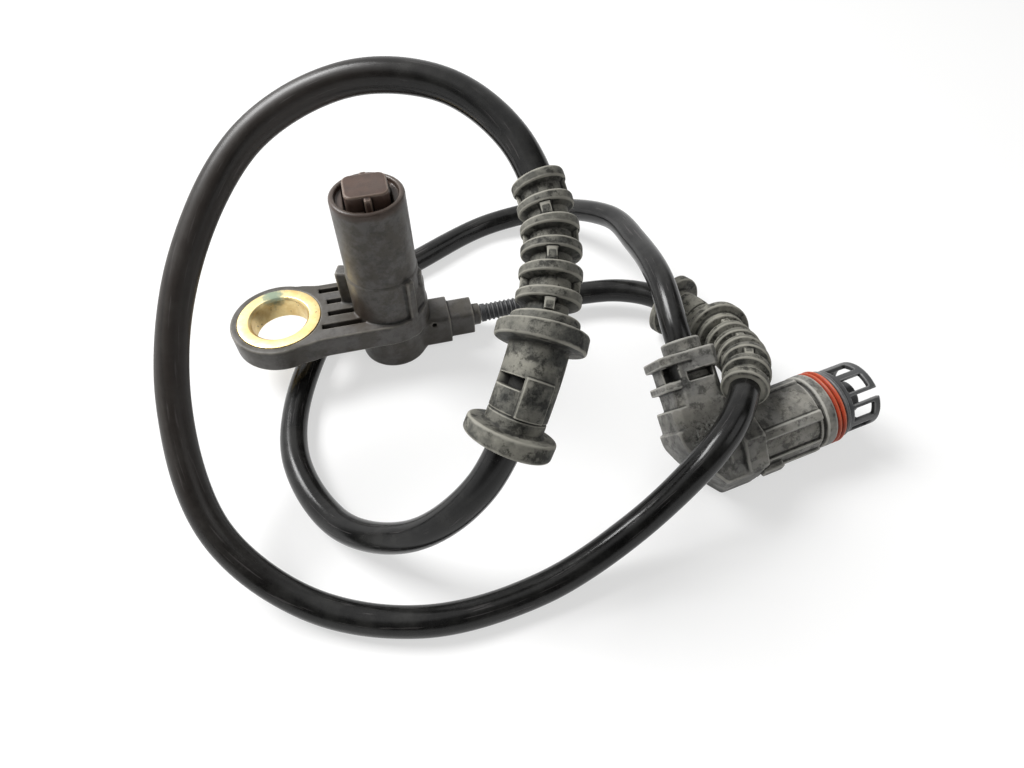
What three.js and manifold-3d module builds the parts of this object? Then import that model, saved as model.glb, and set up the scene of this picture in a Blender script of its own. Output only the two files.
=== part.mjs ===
// Wheel speed sensor: a moulded head with a brass mounting bush, one hose-covered
// cable with two rubber bracket grommets, and an angled plug with a seal ring.
// Millimetres, +Z up. The origin is on the head's axis where its foot meets the table,
// the mounting arm runs along -X and the cable leaves along +X.
import * as THREE from "three";
import { mergeVertices } from "three/addons/utils/BufferGeometryUtils.js";
import Module from "manifold-3d";

const wasm = await Module();
wasm.setup();

// Driving dimensions
const GAP = 0.3; // free space between pieces that touch on the real part
const ROUND = 28; // sides of the larger turned shapes

// Sensor head
const HEAD_HEIGHT = 46;
const BARREL_TIP_R = 8.05;
const BARREL_BASE_R = 8.25;
const COLLAR_R = 8.45;
const COLLAR_TOP = 26.2;
const FOOT_R = 8.3;
const ARM_BOTTOM = 9.5;
const ARM_THICK = 6;
const ARM_HALF_WIDTH = 9.6;
const ARM_REACH = 26; // from the head's axis to the bush's axis
const EYE_R = 11.45;
const EYE_BLEND = 4.5; // how far past the eye's middle the arm's sides run straight
const BUSH_R = 9.75;
const BUSH_BORE_R = 6.6;
const BUSH_CHAMFER = 0.5;
const BUSH_PROUD = 0.15;
const GROOVES = 4;
const GROOVE_PITCH = 4.2;
const GROOVE_WIDTH = 1.5;
const GROOVE_DEPTH = 2.4;
const GROOVE_OFFSET = 0.8; // the groove pattern's middle, towards +Y
const GROOVE_LONGER = 1.7; // how much further the outer grooves reach round the eye
const FINS = [ // angle in degrees about the head's axis
  { angle: -53, thick: 2.2, proud: 1.2, top: 26.4 },
  { angle: -14, thick: 2, proud: 0.7, top: 25 },
  { angle: 161, thick: 3.6, proud: 2.7, top: 24.5 },
];
const TIP_RIM = 1.25;
const TIP_RECESS = 1.1;
const WELL_R = 4; // the hollow that holds the sensing parts
const WELL_DEPTH = 33;
const WELL_LEDGE = 3.2; // depth of the carrier's seat below the tip

// Cable outlet of the head
const OUTLET_Z = 5.4;
const OUTLET_BLOCK = { end: 14.4, width: 9.2, height: 8.8, corner: 0.7 };
const OUTLET_NECK = { end: 20.6, width: 7.2, height: 7.2, corner: 0.6 };
const OUTLET_COLLAR = { end: 22.6, r: 2.75 };
const OUTLET_BORE_R = 1.75;
const OUTLET_NOTCH = { size: 1.2, from: 9.6, above: 2.4 }; // the small opening in its side

// Sensing parts inside the head
const CARRIER_LENGTH = 9.4;
const CARRIER_WIDTH = 8.4;
const CARRIER_PROUD = 2; // above the rim
const CARRIER_TAB = { width: 1.5, reach: 1.3, below: 0.4 }; // beyond the plate and below its top
const CHIP = { length: 5, width: 4, thick: 1.2 };
const MAGNET = { r: 3.4, height: 5 };
const LEAD = { width: 1, thick: 0.5, length: 12, spread: 2.6 };
const HEAD_WIRE_R = 0.65;

// Strain relief at the outlet
const RELIEF = { length: 12.5, startR: 2.1, endR: 1.9, ribR: 0.35, ribs: 6 };
const RELIEF_BORE_R = 1.1;

// Cable hose
const HOSE_R = 3;
const HOSE_SIDES = 10;
const HOSE_STEPS = 80;
const GROMMET_CLEAR = 0.85; // bore of a grommet over the hose, in radius

// Bracket grommets, from the ringed end to the far flange
const RING = { count: 6, pitch: 4.2, thick: 1.8, firstR: 4.6, lastR: 5.5 };
const GROMMET_SIDES = 15;
const BEND_STEP = 5; // longest side of a grommet's outline, so that it can follow the cable
const WEB_WIDTH = 2.6;
const STEP_COLLAR = { length: 1.9, r: 5.9 };
const FLANGE = { r: 7.9, thick: 2.9 };
const BODY = { length: 14.1, r: 5.1 };
const BODY_SLOT = { length: 2, width: 5.4, depth: 1.1, from: 4.5, turn: 50 };
const PANEL = { length: 8.6, width: 5.2, proud: 0.4, turn: -20 };

// Connector: x runs along the plug, the bend of the elbow is the local origin, and angles
// about the plug count from the inlet's side towards the top
const BEND = new THREE.Vector3(61.8, -56, 9.2);
const PLUG_HEADING = 6.65; // degrees from +X on the table
const PLUG_LIFT = 4.6; // degrees that the nose points up
const PLUG_ROLL = 31; // degrees that the inlet is lifted
const ELBOW_ANGLE = 86; // degrees between plug and inlet
const INLET = { left: -6.7, right: 4.2, depth: 5.9, end: 19.3, collarR: 4.2, collarEnd: 24.2 };
const FOOT = { left: -8.4, right: 4.2, from: 3, end: 10.1, depth: 5.9, corner: 1.4 };
const HEEL = [[-8.4, 3], [-7.3, 0.3], [-6.3, -1.6], [-2, -7.2], [-0.4, -10.2], [6.4, -10.2]];
const HEEL_EDGE = [-8.6, -5.3]; // a point of the heel's cut lower edge, across the plug
const HEEL_FRONT = { at: [-10.2, -3.2], slant: 18.2 }; // where the heel's front slants back
const UPPER_PLATE = { from: 19.1, end: 21.2, left: -7.9, right: 5, depth: 6.4 };
const PLATE_BLOCK = { from: 16.9, left: -2.6 }; // the plate's thicker right part
const LOWER_TAB = { from: 13.9, end: 15.6, left: -8.2, right: -3.4, depth: 6.2 };
const POCKET = { from: 15, end: 16.9, left: -3, right: 2.8, depth: 2.2 };
const HUB = { from: 2.8, end: 7.6, r: 9.15, sides: 8, turn: 1.5 };
const BARREL = { end: 21.3, r: 8 };
const BARREL_RIB = { count: 5, first: 23, width: 2.2, proud: 0.6 };
const BARREL_WINDOW = { angle: 122, width: 4.4, depth: 0.6 };
const GROOVE_NECK = { end: 22.2, r: 7.2 };
const SHOULDER = { end: 24.6, r: 8.25 };
const SPIGOT = { end: 27.1, r: 6.7 };
const SEAL = { r: 8.2, lips: 2, lipDepth: 0.55 };
const PLUG_BORE_R = 5.1;
const KEY_TAB = { end: 11.4, half: 1.2, proud: 1.4, angle: 157 };
const NOSE = { end: 36, r: 7.3, wall: 1.15, flangeR: 7.7, flange: 0.9 };
const NOSE_WINDOW = { angles: [30, 68, 122, 160], width: 3.1, from: 1.2, length: 5 };
const NOSE_SLIT = { angle: 95, width: 1.8, notch: 1.5 };
const CORE = { r: 3.6, short: 2.2 }; // the contact carrier's core and how far it sits in
const CARRIER_START = 9;
const CONTACT = { r: 0.8, spread: 1.9, start: 5.6, short: 1.1 };
const WIRE_R = 0.6;

// Middle line of the cable, from the head's outlet to the connector's inlet
const ROUTE = [
  [22.9, 0, 5.4], [51.5, 0, 6], [60.5, -2.4, 7], [67.4, -7.2, 8],
  [71.4, -13.1, 8.5], [74.4, -25.6, 11.8], [74.4, -32.6, 14.9], [73.1, -40.3, 18.7],
  [69.9, -47.4, 22.4], [61.4, -58.7, 24], [54.3, -64, 21.4], [38.8, -69.7, 10.2],
  [18.2, -74.8, 3.8], [-4.6, -75.3, 3.4], [-25.3, -67.1, 5], [-39.4, -53, 14.2],
  [-42.3, -32.9, 29.3], [-34.6, -15.8, 47.4], [-18.8, -3.2, 62.9], [0.5, -1.6, 70.4],
  [17, -8, 70.5], [26.6, -18.9, 65.6], [29.5, -31.8, 58.1], [26.4, -44.7, 51.1],
  [19.6, -56.3, 42.6], [9.6, -64.6, 29], [-4, -63.5, 15.2], [-18.3, -52.2, 5.6],
  [-26.5, -32, 3.3], [-23.6, -9.9, 3.1], [-11, 14.3, 3.1], [12.3, 28.9, 3.1],
  [33.4, 38.5, 3.5], [51.8, 36, 7.2], [62.7, 16.6, 17], [63.1, -1.5, 22],
  [61.4, -20, 25.6], [59.9, -33, 23.2], [60.5, -40.6, 18.5], [61.2, -48.3, 13.9],
].map((p) => new THREE.Vector3(...p));
const RELIEF_END = RELIEF.length + GAP; // where the hose starts, measured along the route
const GROMMET_1_START = 366.6; // its ringed end, measured along the route
const GROMMET_2_START = 98.5; // its ringed end, lying the other way round

// Helpers for solids
const radians = THREE.MathUtils.degToRad;

function solid(geometry) {
  const g = geometry.clone();
  g.deleteAttribute("normal");
  g.deleteAttribute("uv");
  const merged = mergeVertices(g, 1e-4);
  return new wasm.Manifold(new wasm.Mesh({
    numProp: 3,
    vertProperties: merged.attributes.position.array,
    triVerts: new Uint32Array(merged.index.array),
  }));
}

function geometryOf(manifold) {
  const { vertProperties, triVerts } = manifold.getMesh();
  return new THREE.BufferGeometry()
    .setAttribute("position", new THREE.BufferAttribute(vertProperties, 3))
    .setIndex(new THREE.BufferAttribute(triVerts, 1));
}

const join = (...parts) => parts.reduce((a, b) => a.add(b));
const cut = (body, ...tools) => tools.reduce((a, b) => a.subtract(b), body);

// Turned about Z from [radius, height] pairs; the profile closes on the axis or on itself.
function turned(profile, sides = ROUND) {
  const points = profile.map(([r, z]) => new THREE.Vector2(r, z));
  const g = new THREE.LatheGeometry(points, sides);
  g.rotateX(Math.PI / 2);
  return g;
}

const rod = (r, z0, z1, sides = ROUND) => turned([[0, z0], [r, z0], [r, z1], [0, z1]], sides);

// Extra points on a profile's long sides, for a shape that is bent afterwards.
function divided(profile, step) {
  return profile.flatMap(([r, z], i) => {
    if (i === 0) return [[r, z]];
    const [r0, z0] = profile[i - 1];
    const n = Math.max(1, Math.round(Math.abs(z - z0) / step));
    return Array.from({ length: n }, (_, k) => {
      const t = (k + 1) / n;
      return [r0 + (r - r0) * t, z0 + (z - z0) * t];
    });
  });
}

function block(x0, x1, y0, y1, z0, z1) {
  const g = new THREE.BoxGeometry(x1 - x0, y1 - y0, z1 - z0);
  g.translate((x0 + x1) / 2, (y0 + y1) / 2, (z0 + z1) / 2);
  return g;
}

// A bar along X with cut corners: width on Y and height on Z.
function bar(x0, x1, width, height, corner) {
  const [a, b] = [width / 2, height / 2];
  const shape = new THREE.Shape([
    [a - corner, -b], [a, corner - b], [a, b - corner], [a - corner, b],
    [corner - a, b], [-a, b - corner], [-a, corner - b], [corner - a, -b],
  ].map(([y, z]) => new THREE.Vector2(y, z)));
  const g = new THREE.ExtrudeGeometry(shape, { depth: x1 - x0, bevelEnabled: false });
  g.rotateX(Math.PI / 2);
  g.rotateZ(Math.PI / 2);
  g.translate(x0, 0, 0);
  return g;
}

const alongX = (g) => g.rotateY(Math.PI / 2);
const alongY = (g) => g.rotateX(-Math.PI / 2);

// Route of the cable and shapes laid along it
const route = new THREE.CatmullRomCurve3(ROUTE, false, "centripetal");
route.arcLengthDivisions = 2000;
const ROUTE_LENGTH = route.getLength();

class Stretch extends THREE.Curve {
  constructor(from, to) {
    super();
    this.from = from;
    this.to = to;
  }
  getPoint(t, target = new THREE.Vector3()) {
    const s = THREE.MathUtils.lerp(this.from, this.to, t);
    return route.getPointAt(s / ROUTE_LENGTH, target);
  }
}

function circle(r, sides) {
  const points = Array.from({ length: sides }, (_, i) => {
    const a = (2 * Math.PI * i) / sides;
    return new THREE.Vector2(r * Math.cos(a), r * Math.sin(a));
  });
  return new THREE.Shape(points);
}

function swept(path, r, sides, steps) {
  return new THREE.ExtrudeGeometry(circle(r, sides), { steps, extrudePath: path });
}

// Bends a shape that stands on Z so that its axis follows the route; y keeps to the far
// side from `face`, and `way` is 1 along the route or -1 against it.
function laid(geometry, start, way, face) {
  const position = geometry.attributes.position;
  for (let i = 0; i < position.count; i++) {
    const [x, y, z] = [position.getX(i), position.getY(i), position.getZ(i)];
    const u = THREE.MathUtils.clamp((start + way * z) / ROUTE_LENGTH, 0, 1);
    const axis = route.getTangentAt(u).multiplyScalar(way);
    const side = new THREE.Vector3().crossVectors(axis, face).normalize();
    const back = new THREE.Vector3().crossVectors(axis, side);
    const at = route.getPointAt(u).addScaledVector(side, x).addScaledVector(back, y);
    position.setXYZ(i, at.x, at.y, at.z);
  }
  return geometry;
}

// Sensor head
function armOutline(grow) {
  const shape = new THREE.Shape();
  const half = ARM_HALF_WIDTH + grow;
  const r = EYE_R + grow;
  const meet = Math.asin(half / r);
  shape.moveTo(0, -half);
  shape.lineTo(0, half);
  shape.lineTo(-ARM_REACH + r * Math.cos(meet) + EYE_BLEND, half);
  shape.absarc(-ARM_REACH, 0, r, meet, 2 * Math.PI - meet, false);
  shape.lineTo(-ARM_REACH + r * Math.cos(meet) + EYE_BLEND, -half);
  return shape;
}

function arm() {
  const g = new THREE.ExtrudeGeometry(armOutline(0), {
    depth: ARM_THICK, bevelEnabled: false, curveSegments: ROUND,
  });
  g.translate(0, 0, ARM_BOTTOM);
  return join(solid(g), solid(rod(ARM_HALF_WIDTH, ARM_BOTTOM, ARM_BOTTOM + ARM_THICK)));
}

function grooves() {
  const top = ARM_BOTTOM + ARM_THICK;
  const start = -ARM_REACH + EYE_R;
  return Array.from({ length: GROOVES }, (_, i) => {
    const y = GROOVE_OFFSET + (i - (GROOVES - 1) / 2) * GROOVE_PITCH;
    const outer = Math.abs(i - (GROOVES - 1) / 2) > 1;
    return solid(block(start - (outer ? GROOVE_LONGER : 0), -BARREL_BASE_R / 2,
      y - GROOVE_WIDTH / 2, y + GROOVE_WIDTH / 2, top - GROOVE_DEPTH, top + 1));
  });
}

function fins() {
  return FINS.map(({ angle, thick, proud, top }) => {
    const g = block(BARREL_BASE_R / 2, COLLAR_R + proud, -thick / 2, thick / 2, ARM_BOTTOM, top);
    return solid(g.rotateZ(radians(angle)));
  });
}

function outlet() {
  const parts = [
    bar(0, OUTLET_BLOCK.end, OUTLET_BLOCK.width, OUTLET_BLOCK.height, OUTLET_BLOCK.corner),
    bar(0, OUTLET_NECK.end, OUTLET_NECK.width, OUTLET_NECK.height, OUTLET_NECK.corner),
    alongX(rod(OUTLET_COLLAR.r, 0, OUTLET_COLLAR.end, 20)),
  ];
  return join(...parts.map((g) => solid(g.translate(0, 0, OUTLET_Z))));
}

function sensorHousing() {
  const armTop = ARM_BOTTOM + ARM_THICK;
  const barrel = solid(turned([
    [0, 0], [FOOT_R - 0.6, 0], [FOOT_R, 0.6], [FOOT_R, ARM_BOTTOM], [COLLAR_R, ARM_BOTTOM],
    [COLLAR_R, COLLAR_TOP - 0.3], [BARREL_BASE_R, COLLAR_TOP], [BARREL_TIP_R, HEAD_HEIGHT - 0.7],
    [BARREL_TIP_R - 0.7, HEAD_HEIGHT], [0, HEAD_HEIGHT],
  ], 32));
  const recess = solid(rod(BARREL_TIP_R - TIP_RIM, HEAD_HEIGHT - TIP_RECESS, HEAD_HEIGHT + 1));
  const seat = solid(block(-CARRIER_LENGTH / 2 - GAP, CARRIER_LENGTH / 2 + GAP,
    -CARRIER_WIDTH / 2 - GAP, CARRIER_WIDTH / 2 + GAP,
    HEAD_HEIGHT - WELL_LEDGE, HEAD_HEIGHT + 1));
  const tabHalf = CARRIER_TAB.width / 2 + GAP;
  const tabReach = CARRIER_WIDTH / 2 + CARRIER_TAB.reach + GAP;
  const tabs = solid(block(-tabHalf, tabHalf, -tabReach, tabReach,
    HEAD_HEIGHT - WELL_LEDGE, HEAD_HEIGHT + 1));
  const wellTop = HEAD_HEIGHT - WELL_LEDGE + 1;
  const well = solid(rod(WELL_R, HEAD_HEIGHT - WELL_DEPTH, wellTop, 24));
  const channel = solid(block(-LEAD.spread, LEAD.spread, -1.6, 1.6, OUTLET_Z - 1.6,
    HEAD_HEIGHT - WELL_DEPTH + 1));
  const wireBore = solid(alongX(rod(OUTLET_BORE_R, 0, OUTLET_COLLAR.end + 1, 16))
    .translate(0, 0, OUTLET_Z));
  const bushBore = solid(rod(BUSH_R + GAP, 0, armTop + 1, 40).translate(-ARM_REACH, 0, 0));
  const { size, from, above } = OUTLET_NOTCH;
  const notch = solid(block(from, from + size, -OUTLET_BLOCK.width,
    size - OUTLET_BLOCK.width / 2, OUTLET_Z + above, OUTLET_Z + above + size));
  const grooved = cut(arm(), ...grooves());
  const body = join(barrel, grooved, ...fins(), outlet());
  return geometryOf(cut(body, recess, seat, tabs, well, channel, wireBore, bushBore, notch));
}

function mountingBush() {
  const z0 = ARM_BOTTOM - BUSH_PROUD;
  const z1 = ARM_BOTTOM + ARM_THICK + BUSH_PROUD;
  const c = BUSH_CHAMFER;
  return turned([
    [BUSH_BORE_R, z0 + c], [BUSH_BORE_R + c, z0], [BUSH_R, z0], [BUSH_R, z1],
    [BUSH_BORE_R + c, z1], [BUSH_BORE_R, z1 - c], [BUSH_BORE_R, z0 + c],
  ], 40).translate(-ARM_REACH, 0, 0);
}

// The sensing parts: the carrier closes the tip, the chip and the magnet hang below it.
function chipCarrier() {
  const top = HEAD_HEIGHT + CARRIER_PROUD;
  const floor = HEAD_HEIGHT - WELL_LEDGE + GAP;
  const [a, b] = [CARRIER_LENGTH / 2, CARRIER_WIDTH / 2];
  const outline = new THREE.Shape();
  outline.moveTo(a - b / 2, -b);
  outline.absarc(a - b / 2, -b / 2, b / 2, -Math.PI / 2, 0, false);
  outline.absarc(a - b / 2, b / 2, b / 2, 0, Math.PI / 2, false);
  outline.absarc(b / 2 - a, b / 2, b / 2, Math.PI / 2, Math.PI, false);
  outline.absarc(b / 2 - a, -b / 2, b / 2, Math.PI, 1.5 * Math.PI, false);
  const plug = new THREE.ExtrudeGeometry(outline, {
    depth: top - floor, bevelEnabled: false, curveSegments: 5,
  });
  const reach = CARRIER_WIDTH / 2 + CARRIER_TAB.reach;
  const tab = block(-CARRIER_TAB.width / 2, CARRIER_TAB.width / 2, -reach, reach, floor,
    top - CARRIER_TAB.below);
  return geometryOf(join(solid(plug.translate(0, 0, floor)), solid(tab)));
}

const CHIP_TOP = HEAD_HEIGHT - WELL_LEDGE;
const MAGNET_TOP = CHIP_TOP - CHIP.thick - GAP;

function sensorChip() {
  return block(-CHIP.length / 2, CHIP.length / 2, -CHIP.width / 2, CHIP.width / 2,
    CHIP_TOP - CHIP.thick, CHIP_TOP);
}

function biasMagnet() {
  return rod(MAGNET.r, MAGNET_TOP - MAGNET.height, MAGNET_TOP, 20);
}

function chipLead(side) {
  const x = (side * LEAD.spread) / 2;
  const top = MAGNET_TOP - MAGNET.height - GAP;
  return block(x - LEAD.width / 2, x + LEAD.width / 2, -LEAD.thick / 2, LEAD.thick / 2,
    top - LEAD.length, top);
}

// A wire from under its lead, round the corner and out to the strain relief.
function headWire(side) {
  const x = (side * LEAD.spread) / 2;
  const top = MAGNET_TOP - MAGNET.height - LEAD.length - 2 * GAP;
  const y = (side * OUTLET_BORE_R) / 2;
  const path = new THREE.CatmullRomCurve3([
    new THREE.Vector3(x, 0, top),
    new THREE.Vector3(x, y / 2, (top + OUTLET_Z) / 2 + 2),
    new THREE.Vector3(x + 0.8, y, OUTLET_Z + 0.9),
    new THREE.Vector3(x + 3, y, OUTLET_Z),
    new THREE.Vector3(OUTLET_COLLAR.end - 2, y, OUTLET_Z),
  ], false, "centripetal");
  return swept(path, HEAD_WIRE_R, 8, 14);
}

// Ribbed, slightly tapered relief that closes on the hose's end.
function outletStrainRelief() {
  const { length, startR, endR, ribR, ribs } = RELIEF;
  const pitch = (length - 2) / ribs;
  const outer = [[startR + ribR, 0], [startR + ribR, 1]];
  for (let i = 0; i < ribs; i++) {
    const z = 1 + i * pitch;
    const r = THREE.MathUtils.lerp(startR, endR, i / ribs);
    outer.push([r, z + 0.15], [r, z + pitch / 2 - 0.15]);
    outer.push([r + ribR, z + pitch / 2], [r + ribR, z + pitch - 0.1]);
  }
  outer.push([endR, length - 0.8], [endR, length]);
  const profile = [[0, 2], [RELIEF_BORE_R, 2], [RELIEF_BORE_R, 0], ...outer, [0, length]];
  return laid(turned(profile, 10), 0, 1, new THREE.Vector3(0, 0, 1));
}

const cableHose = () => swept(new Stretch(RELIEF_END, ROUTE_LENGTH), HOSE_R, HOSE_SIDES, HOSE_STEPS);

// Bracket grommet, standing on Z from its ringed end
const RINGS_LENGTH = RING.count * RING.pitch;
const NEAR_FLANGE = RINGS_LENGTH + STEP_COLLAR.length;
const BODY_START = NEAR_FLANGE + FLANGE.thick;
const FAR_FLANGE = BODY_START + BODY.length;
const GROMMET_LENGTH = FAR_FLANGE + FLANGE.thick;

function grommet() {
  const bore = HOSE_R + GROMMET_CLEAR;
  const parts = [];
  for (let i = 0; i < RING.count; i++) {
    const z = i * RING.pitch;
    const r = THREE.MathUtils.lerp(RING.firstR, RING.lastR, i / (RING.count - 1));
    parts.push(solid(turned([
      [bore, z], [r - 0.4, z], [r, z + 0.4], [r, z + RING.thick - 0.4], [r - 0.4, z + RING.thick],
      [bore, z + RING.thick], [bore, z],
    ], GROMMET_SIDES)));
    parts.push(...webs(z, bore, r, i % 2));
  }
  const round = 0.45;
  parts.push(solid(turned(divided([
    [bore, RINGS_LENGTH], [STEP_COLLAR.r - round, RINGS_LENGTH],
    [STEP_COLLAR.r, RINGS_LENGTH + round],
    [STEP_COLLAR.r, NEAR_FLANGE], [FLANGE.r - round, NEAR_FLANGE], [FLANGE.r, NEAR_FLANGE + round],
    [FLANGE.r, BODY_START - round], [FLANGE.r - round, BODY_START], [BODY.r, BODY_START],
    [BODY.r, FAR_FLANGE],
    [FLANGE.r - round, FAR_FLANGE], [FLANGE.r, FAR_FLANGE + round],
    [FLANGE.r, GROMMET_LENGTH - round], [FLANGE.r - round, GROMMET_LENGTH],
    [bore, GROMMET_LENGTH], [bore, RINGS_LENGTH],
  ], BEND_STEP), GROMMET_SIDES)));
  const slotFrom = BODY_START + BODY_SLOT.from;
  const slot = solid(block(-BODY_SLOT.width / 2, BODY_SLOT.width / 2, -BODY.r - 1,
    BODY_SLOT.depth - BODY.r, slotFrom, slotFrom + BODY_SLOT.length)
    .rotateZ(radians(BODY_SLOT.turn)));
  const panel = solid(block(-PANEL.width / 2, PANEL.width / 2, -BODY.r - PANEL.proud,
    -bore - 0.3, FAR_FLANGE - PANEL.length, FAR_FLANGE - 0.01)
    .rotateZ(radians(PANEL.turn)));
  return geometryOf(cut(join(...parts, panel), slot));
}

// The two bars that hold one ring to the next, at the sides or at the front and back.
function webs(z, bore, r, turn) {
  return [-1, 1].map((side) => {
    const g = block(-WEB_WIDTH / 2, WEB_WIDTH / 2, bore + 0.05, r - 0.25,
      z + RING.thick - 0.5, z + RING.pitch + 0.5);
    return solid(g.rotateZ(side * Math.PI / 2 + turn * Math.PI / 2));
  });
}

// Connector, in its own frame
function inletFrame(g) {
  return g.rotateZ(radians(ELBOW_ANGLE - 90));
}

// A block of the inlet between two sides, along the inlet's axis.
function slab(left, right, from, to, depth, corner) {
  const g = bar(from, to, right - left, 2 * depth, corner).rotateZ(Math.PI / 2);
  return solid(inletFrame(g.translate((left + right) / 2, 0, 0)));
}

function inletArm() {
  const body = slab(INLET.left, INLET.right, 0, INLET.end, INLET.depth, 1.8);
  const foot = slab(FOOT.left, FOOT.right, FOOT.from, FOOT.end, FOOT.depth, FOOT.corner);
  const { from, end, left, right, depth } = UPPER_PLATE;
  const plate = slab(left, right, from, end, depth, 1.6);
  const thick = slab(PLATE_BLOCK.left, right, PLATE_BLOCK.from, end, depth, 1.6);
  const tab = slab(LOWER_TAB.left, LOWER_TAB.right, LOWER_TAB.from, LOWER_TAB.end,
    LOWER_TAB.depth, 1.6);
  const collar = solid(inletFrame(alongY(rod(INLET.collarR, 0, INLET.collarEnd, 24))));
  return join(body, foot, plate, thick, tab, collar);
}

function pockets() {
  const { from, end, left, right, depth } = POCKET;
  return [-1, 1].map((side) => solid(inletFrame(block(left, right, from, end,
    side > 0 ? INLET.depth - depth : -INLET.depth - 1,
    side > 0 ? INLET.depth + 1 : depth - INLET.depth))));
}

// The heel under the bend, cut back at its lower edge so that it stands on the table.
function heel() {
  const shape = new THREE.Shape([...HEEL, [6.4, 6], [-8.4, 6]].map((p) => new THREE.Vector2(...p)));
  const half = FOOT.depth;
  const g = new THREE.ExtrudeGeometry(shape, { depth: 2 * half, bevelEnabled: false });
  const edge = solid(block(-20, 20, -10, 0, -20, 20).rotateX(radians(90 - PLUG_ROLL))
    .translate(0, ...HEEL_EDGE));
  const front = solid(block(-20, 20, -10, 0, -20, 20).rotateX(-radians(HEEL_FRONT.slant))
    .translate(0, ...HEEL_FRONT.at));
  return cut(solid(g.translate(0, 0, -half)), edge, front);
}

// A block on the barrel's side at an angle from the inlet's side.
function onBarrel(from, to, half, low, high, angle) {
  return solid(block(from, to, -half, half, low, high).rotateX(radians(angle - 90)));
}

function elbow() {
  const hub = alongX(rod(HUB.r, HUB.from, HUB.end, HUB.sides)).rotateX(radians(HUB.turn));
  const barrel = alongX(turned([
    [0, 0], [BARREL.r - 1, 0], [BARREL.r, HUB.end], [BARREL.r, BARREL.end],
    [GROOVE_NECK.r, BARREL.end], [GROOVE_NECK.r, GROOVE_NECK.end],
    [SHOULDER.r, GROOVE_NECK.end], [SHOULDER.r, SHOULDER.end],
    [SPIGOT.r, SHOULDER.end], [SPIGOT.r, SPIGOT.end], [0, SPIGOT.end],
  ]));
  const ribs = Array.from({ length: BARREL_RIB.count }, (_, i) => onBarrel(
    HUB.end - 0.5, BARREL.end, BARREL_RIB.width / 2, BARREL.r - 1, BARREL.r + BARREL_RIB.proud,
    BARREL_RIB.first + (360 * i) / BARREL_RIB.count));
  const { angle, width, depth } = BARREL_WINDOW;
  const low = BARREL.r * Math.cos(width / 2 / BARREL.r) - depth;
  const window = onBarrel(HUB.end, BARREL.end - 0.4, width / 2, low, BARREL.r + 1, angle);
  const key = onBarrel(HUB.end - 0.5, KEY_TAB.end, KEY_TAB.half, BARREL.r - 1,
    BARREL.r + KEY_TAB.proud, KEY_TAB.angle);
  return join(heel(), solid(hub), cut(solid(barrel), window), ...ribs, key);
}

function connectorHousing() {
  const inletBore = solid(inletFrame(alongY(rod(HOSE_R + GAP, 0, INLET.collarEnd + 1, 20))));
  const plugBore = solid(alongX(rod(PLUG_BORE_R, -1, SPIGOT.end + 1, 24)));
  return geometryOf(cut(join(elbow(), inletArm()), ...pockets(), inletBore, plugBore));
}

function plugInsert() {
  const noseStart = SPIGOT.end + GAP;
  const wallStart = noseStart + NOSE.flange;
  const inner = NOSE.r - NOSE.wall;
  const body = solid(alongX(turned([
    [0, CARRIER_START], [PLUG_BORE_R - GAP, CARRIER_START], [PLUG_BORE_R - GAP, noseStart],
    [NOSE.flangeR, noseStart], [NOSE.flangeR, wallStart], [NOSE.r, wallStart],
    [NOSE.r, NOSE.end - 0.4], [NOSE.r - 0.4, NOSE.end], [inner, NOSE.end], [inner, wallStart],
    [CORE.r, wallStart], [CORE.r, NOSE.end - CORE.short], [0, NOSE.end - CORE.short],
  ])));
  const from = wallStart + NOSE_WINDOW.from;
  const windows = [0, 180].flatMap((turn) => NOSE_WINDOW.angles.map((angle) => onBarrel(
    from, from + NOSE_WINDOW.length, NOSE_WINDOW.width / 2, inner - 1, NOSE.r + 1, angle + turn)));
  const slits = [0, 180].flatMap((turn) => {
    const angle = NOSE_SLIT.angle + turn;
    const [half, high] = [NOSE_SLIT.width / 2, NOSE.r + 1];
    return [
      onBarrel(from, from + NOSE_WINDOW.length, half, inner - 1, high, angle),
      onBarrel(NOSE.end - NOSE_SLIT.notch, NOSE.end + 1, half, inner - 1, high, angle),
    ];
  });
  const bores = [-1, 1].map((side) => solid(alongX(rod(CONTACT.r + GAP, CARRIER_START - 1,
    NOSE.end + 1, 12)).translate(0, 0, side * CONTACT.spread)));
  return geometryOf(cut(body, ...windows, ...slits, ...bores));
}

function sealRing() {
  const bore = SPIGOT.r + GAP;
  const [x0, x1] = [SHOULDER.end + GAP, SPIGOT.end - 0.1];
  const lip = (x1 - x0) / SEAL.lips;
  const outer = [];
  for (let i = 0; i < SEAL.lips; i++) {
    const z = x0 + i * lip;
    outer.push([SEAL.r - SEAL.lipDepth, z + 0.05], [SEAL.r, z + lip * 0.35]);
    outer.push([SEAL.r, z + lip * 0.65], [SEAL.r - SEAL.lipDepth, z + lip - 0.05]);
  }
  return alongX(turned([[bore, x0 + 0.05], ...outer, [bore, x1 - 0.05], [bore, x0 + 0.05]], 24));
}

function contact(side) {
  const [x0, x1] = [CONTACT.start, NOSE.end - CORE.short - CONTACT.short];
  return alongX(rod(CONTACT.r, x0, x1, 12)).translate(0, 0, side * CONTACT.spread);
}

// Where the hose's end lies inside the inlet, along the inlet's own axis
const HOSE_END_IN = 9;

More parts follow.
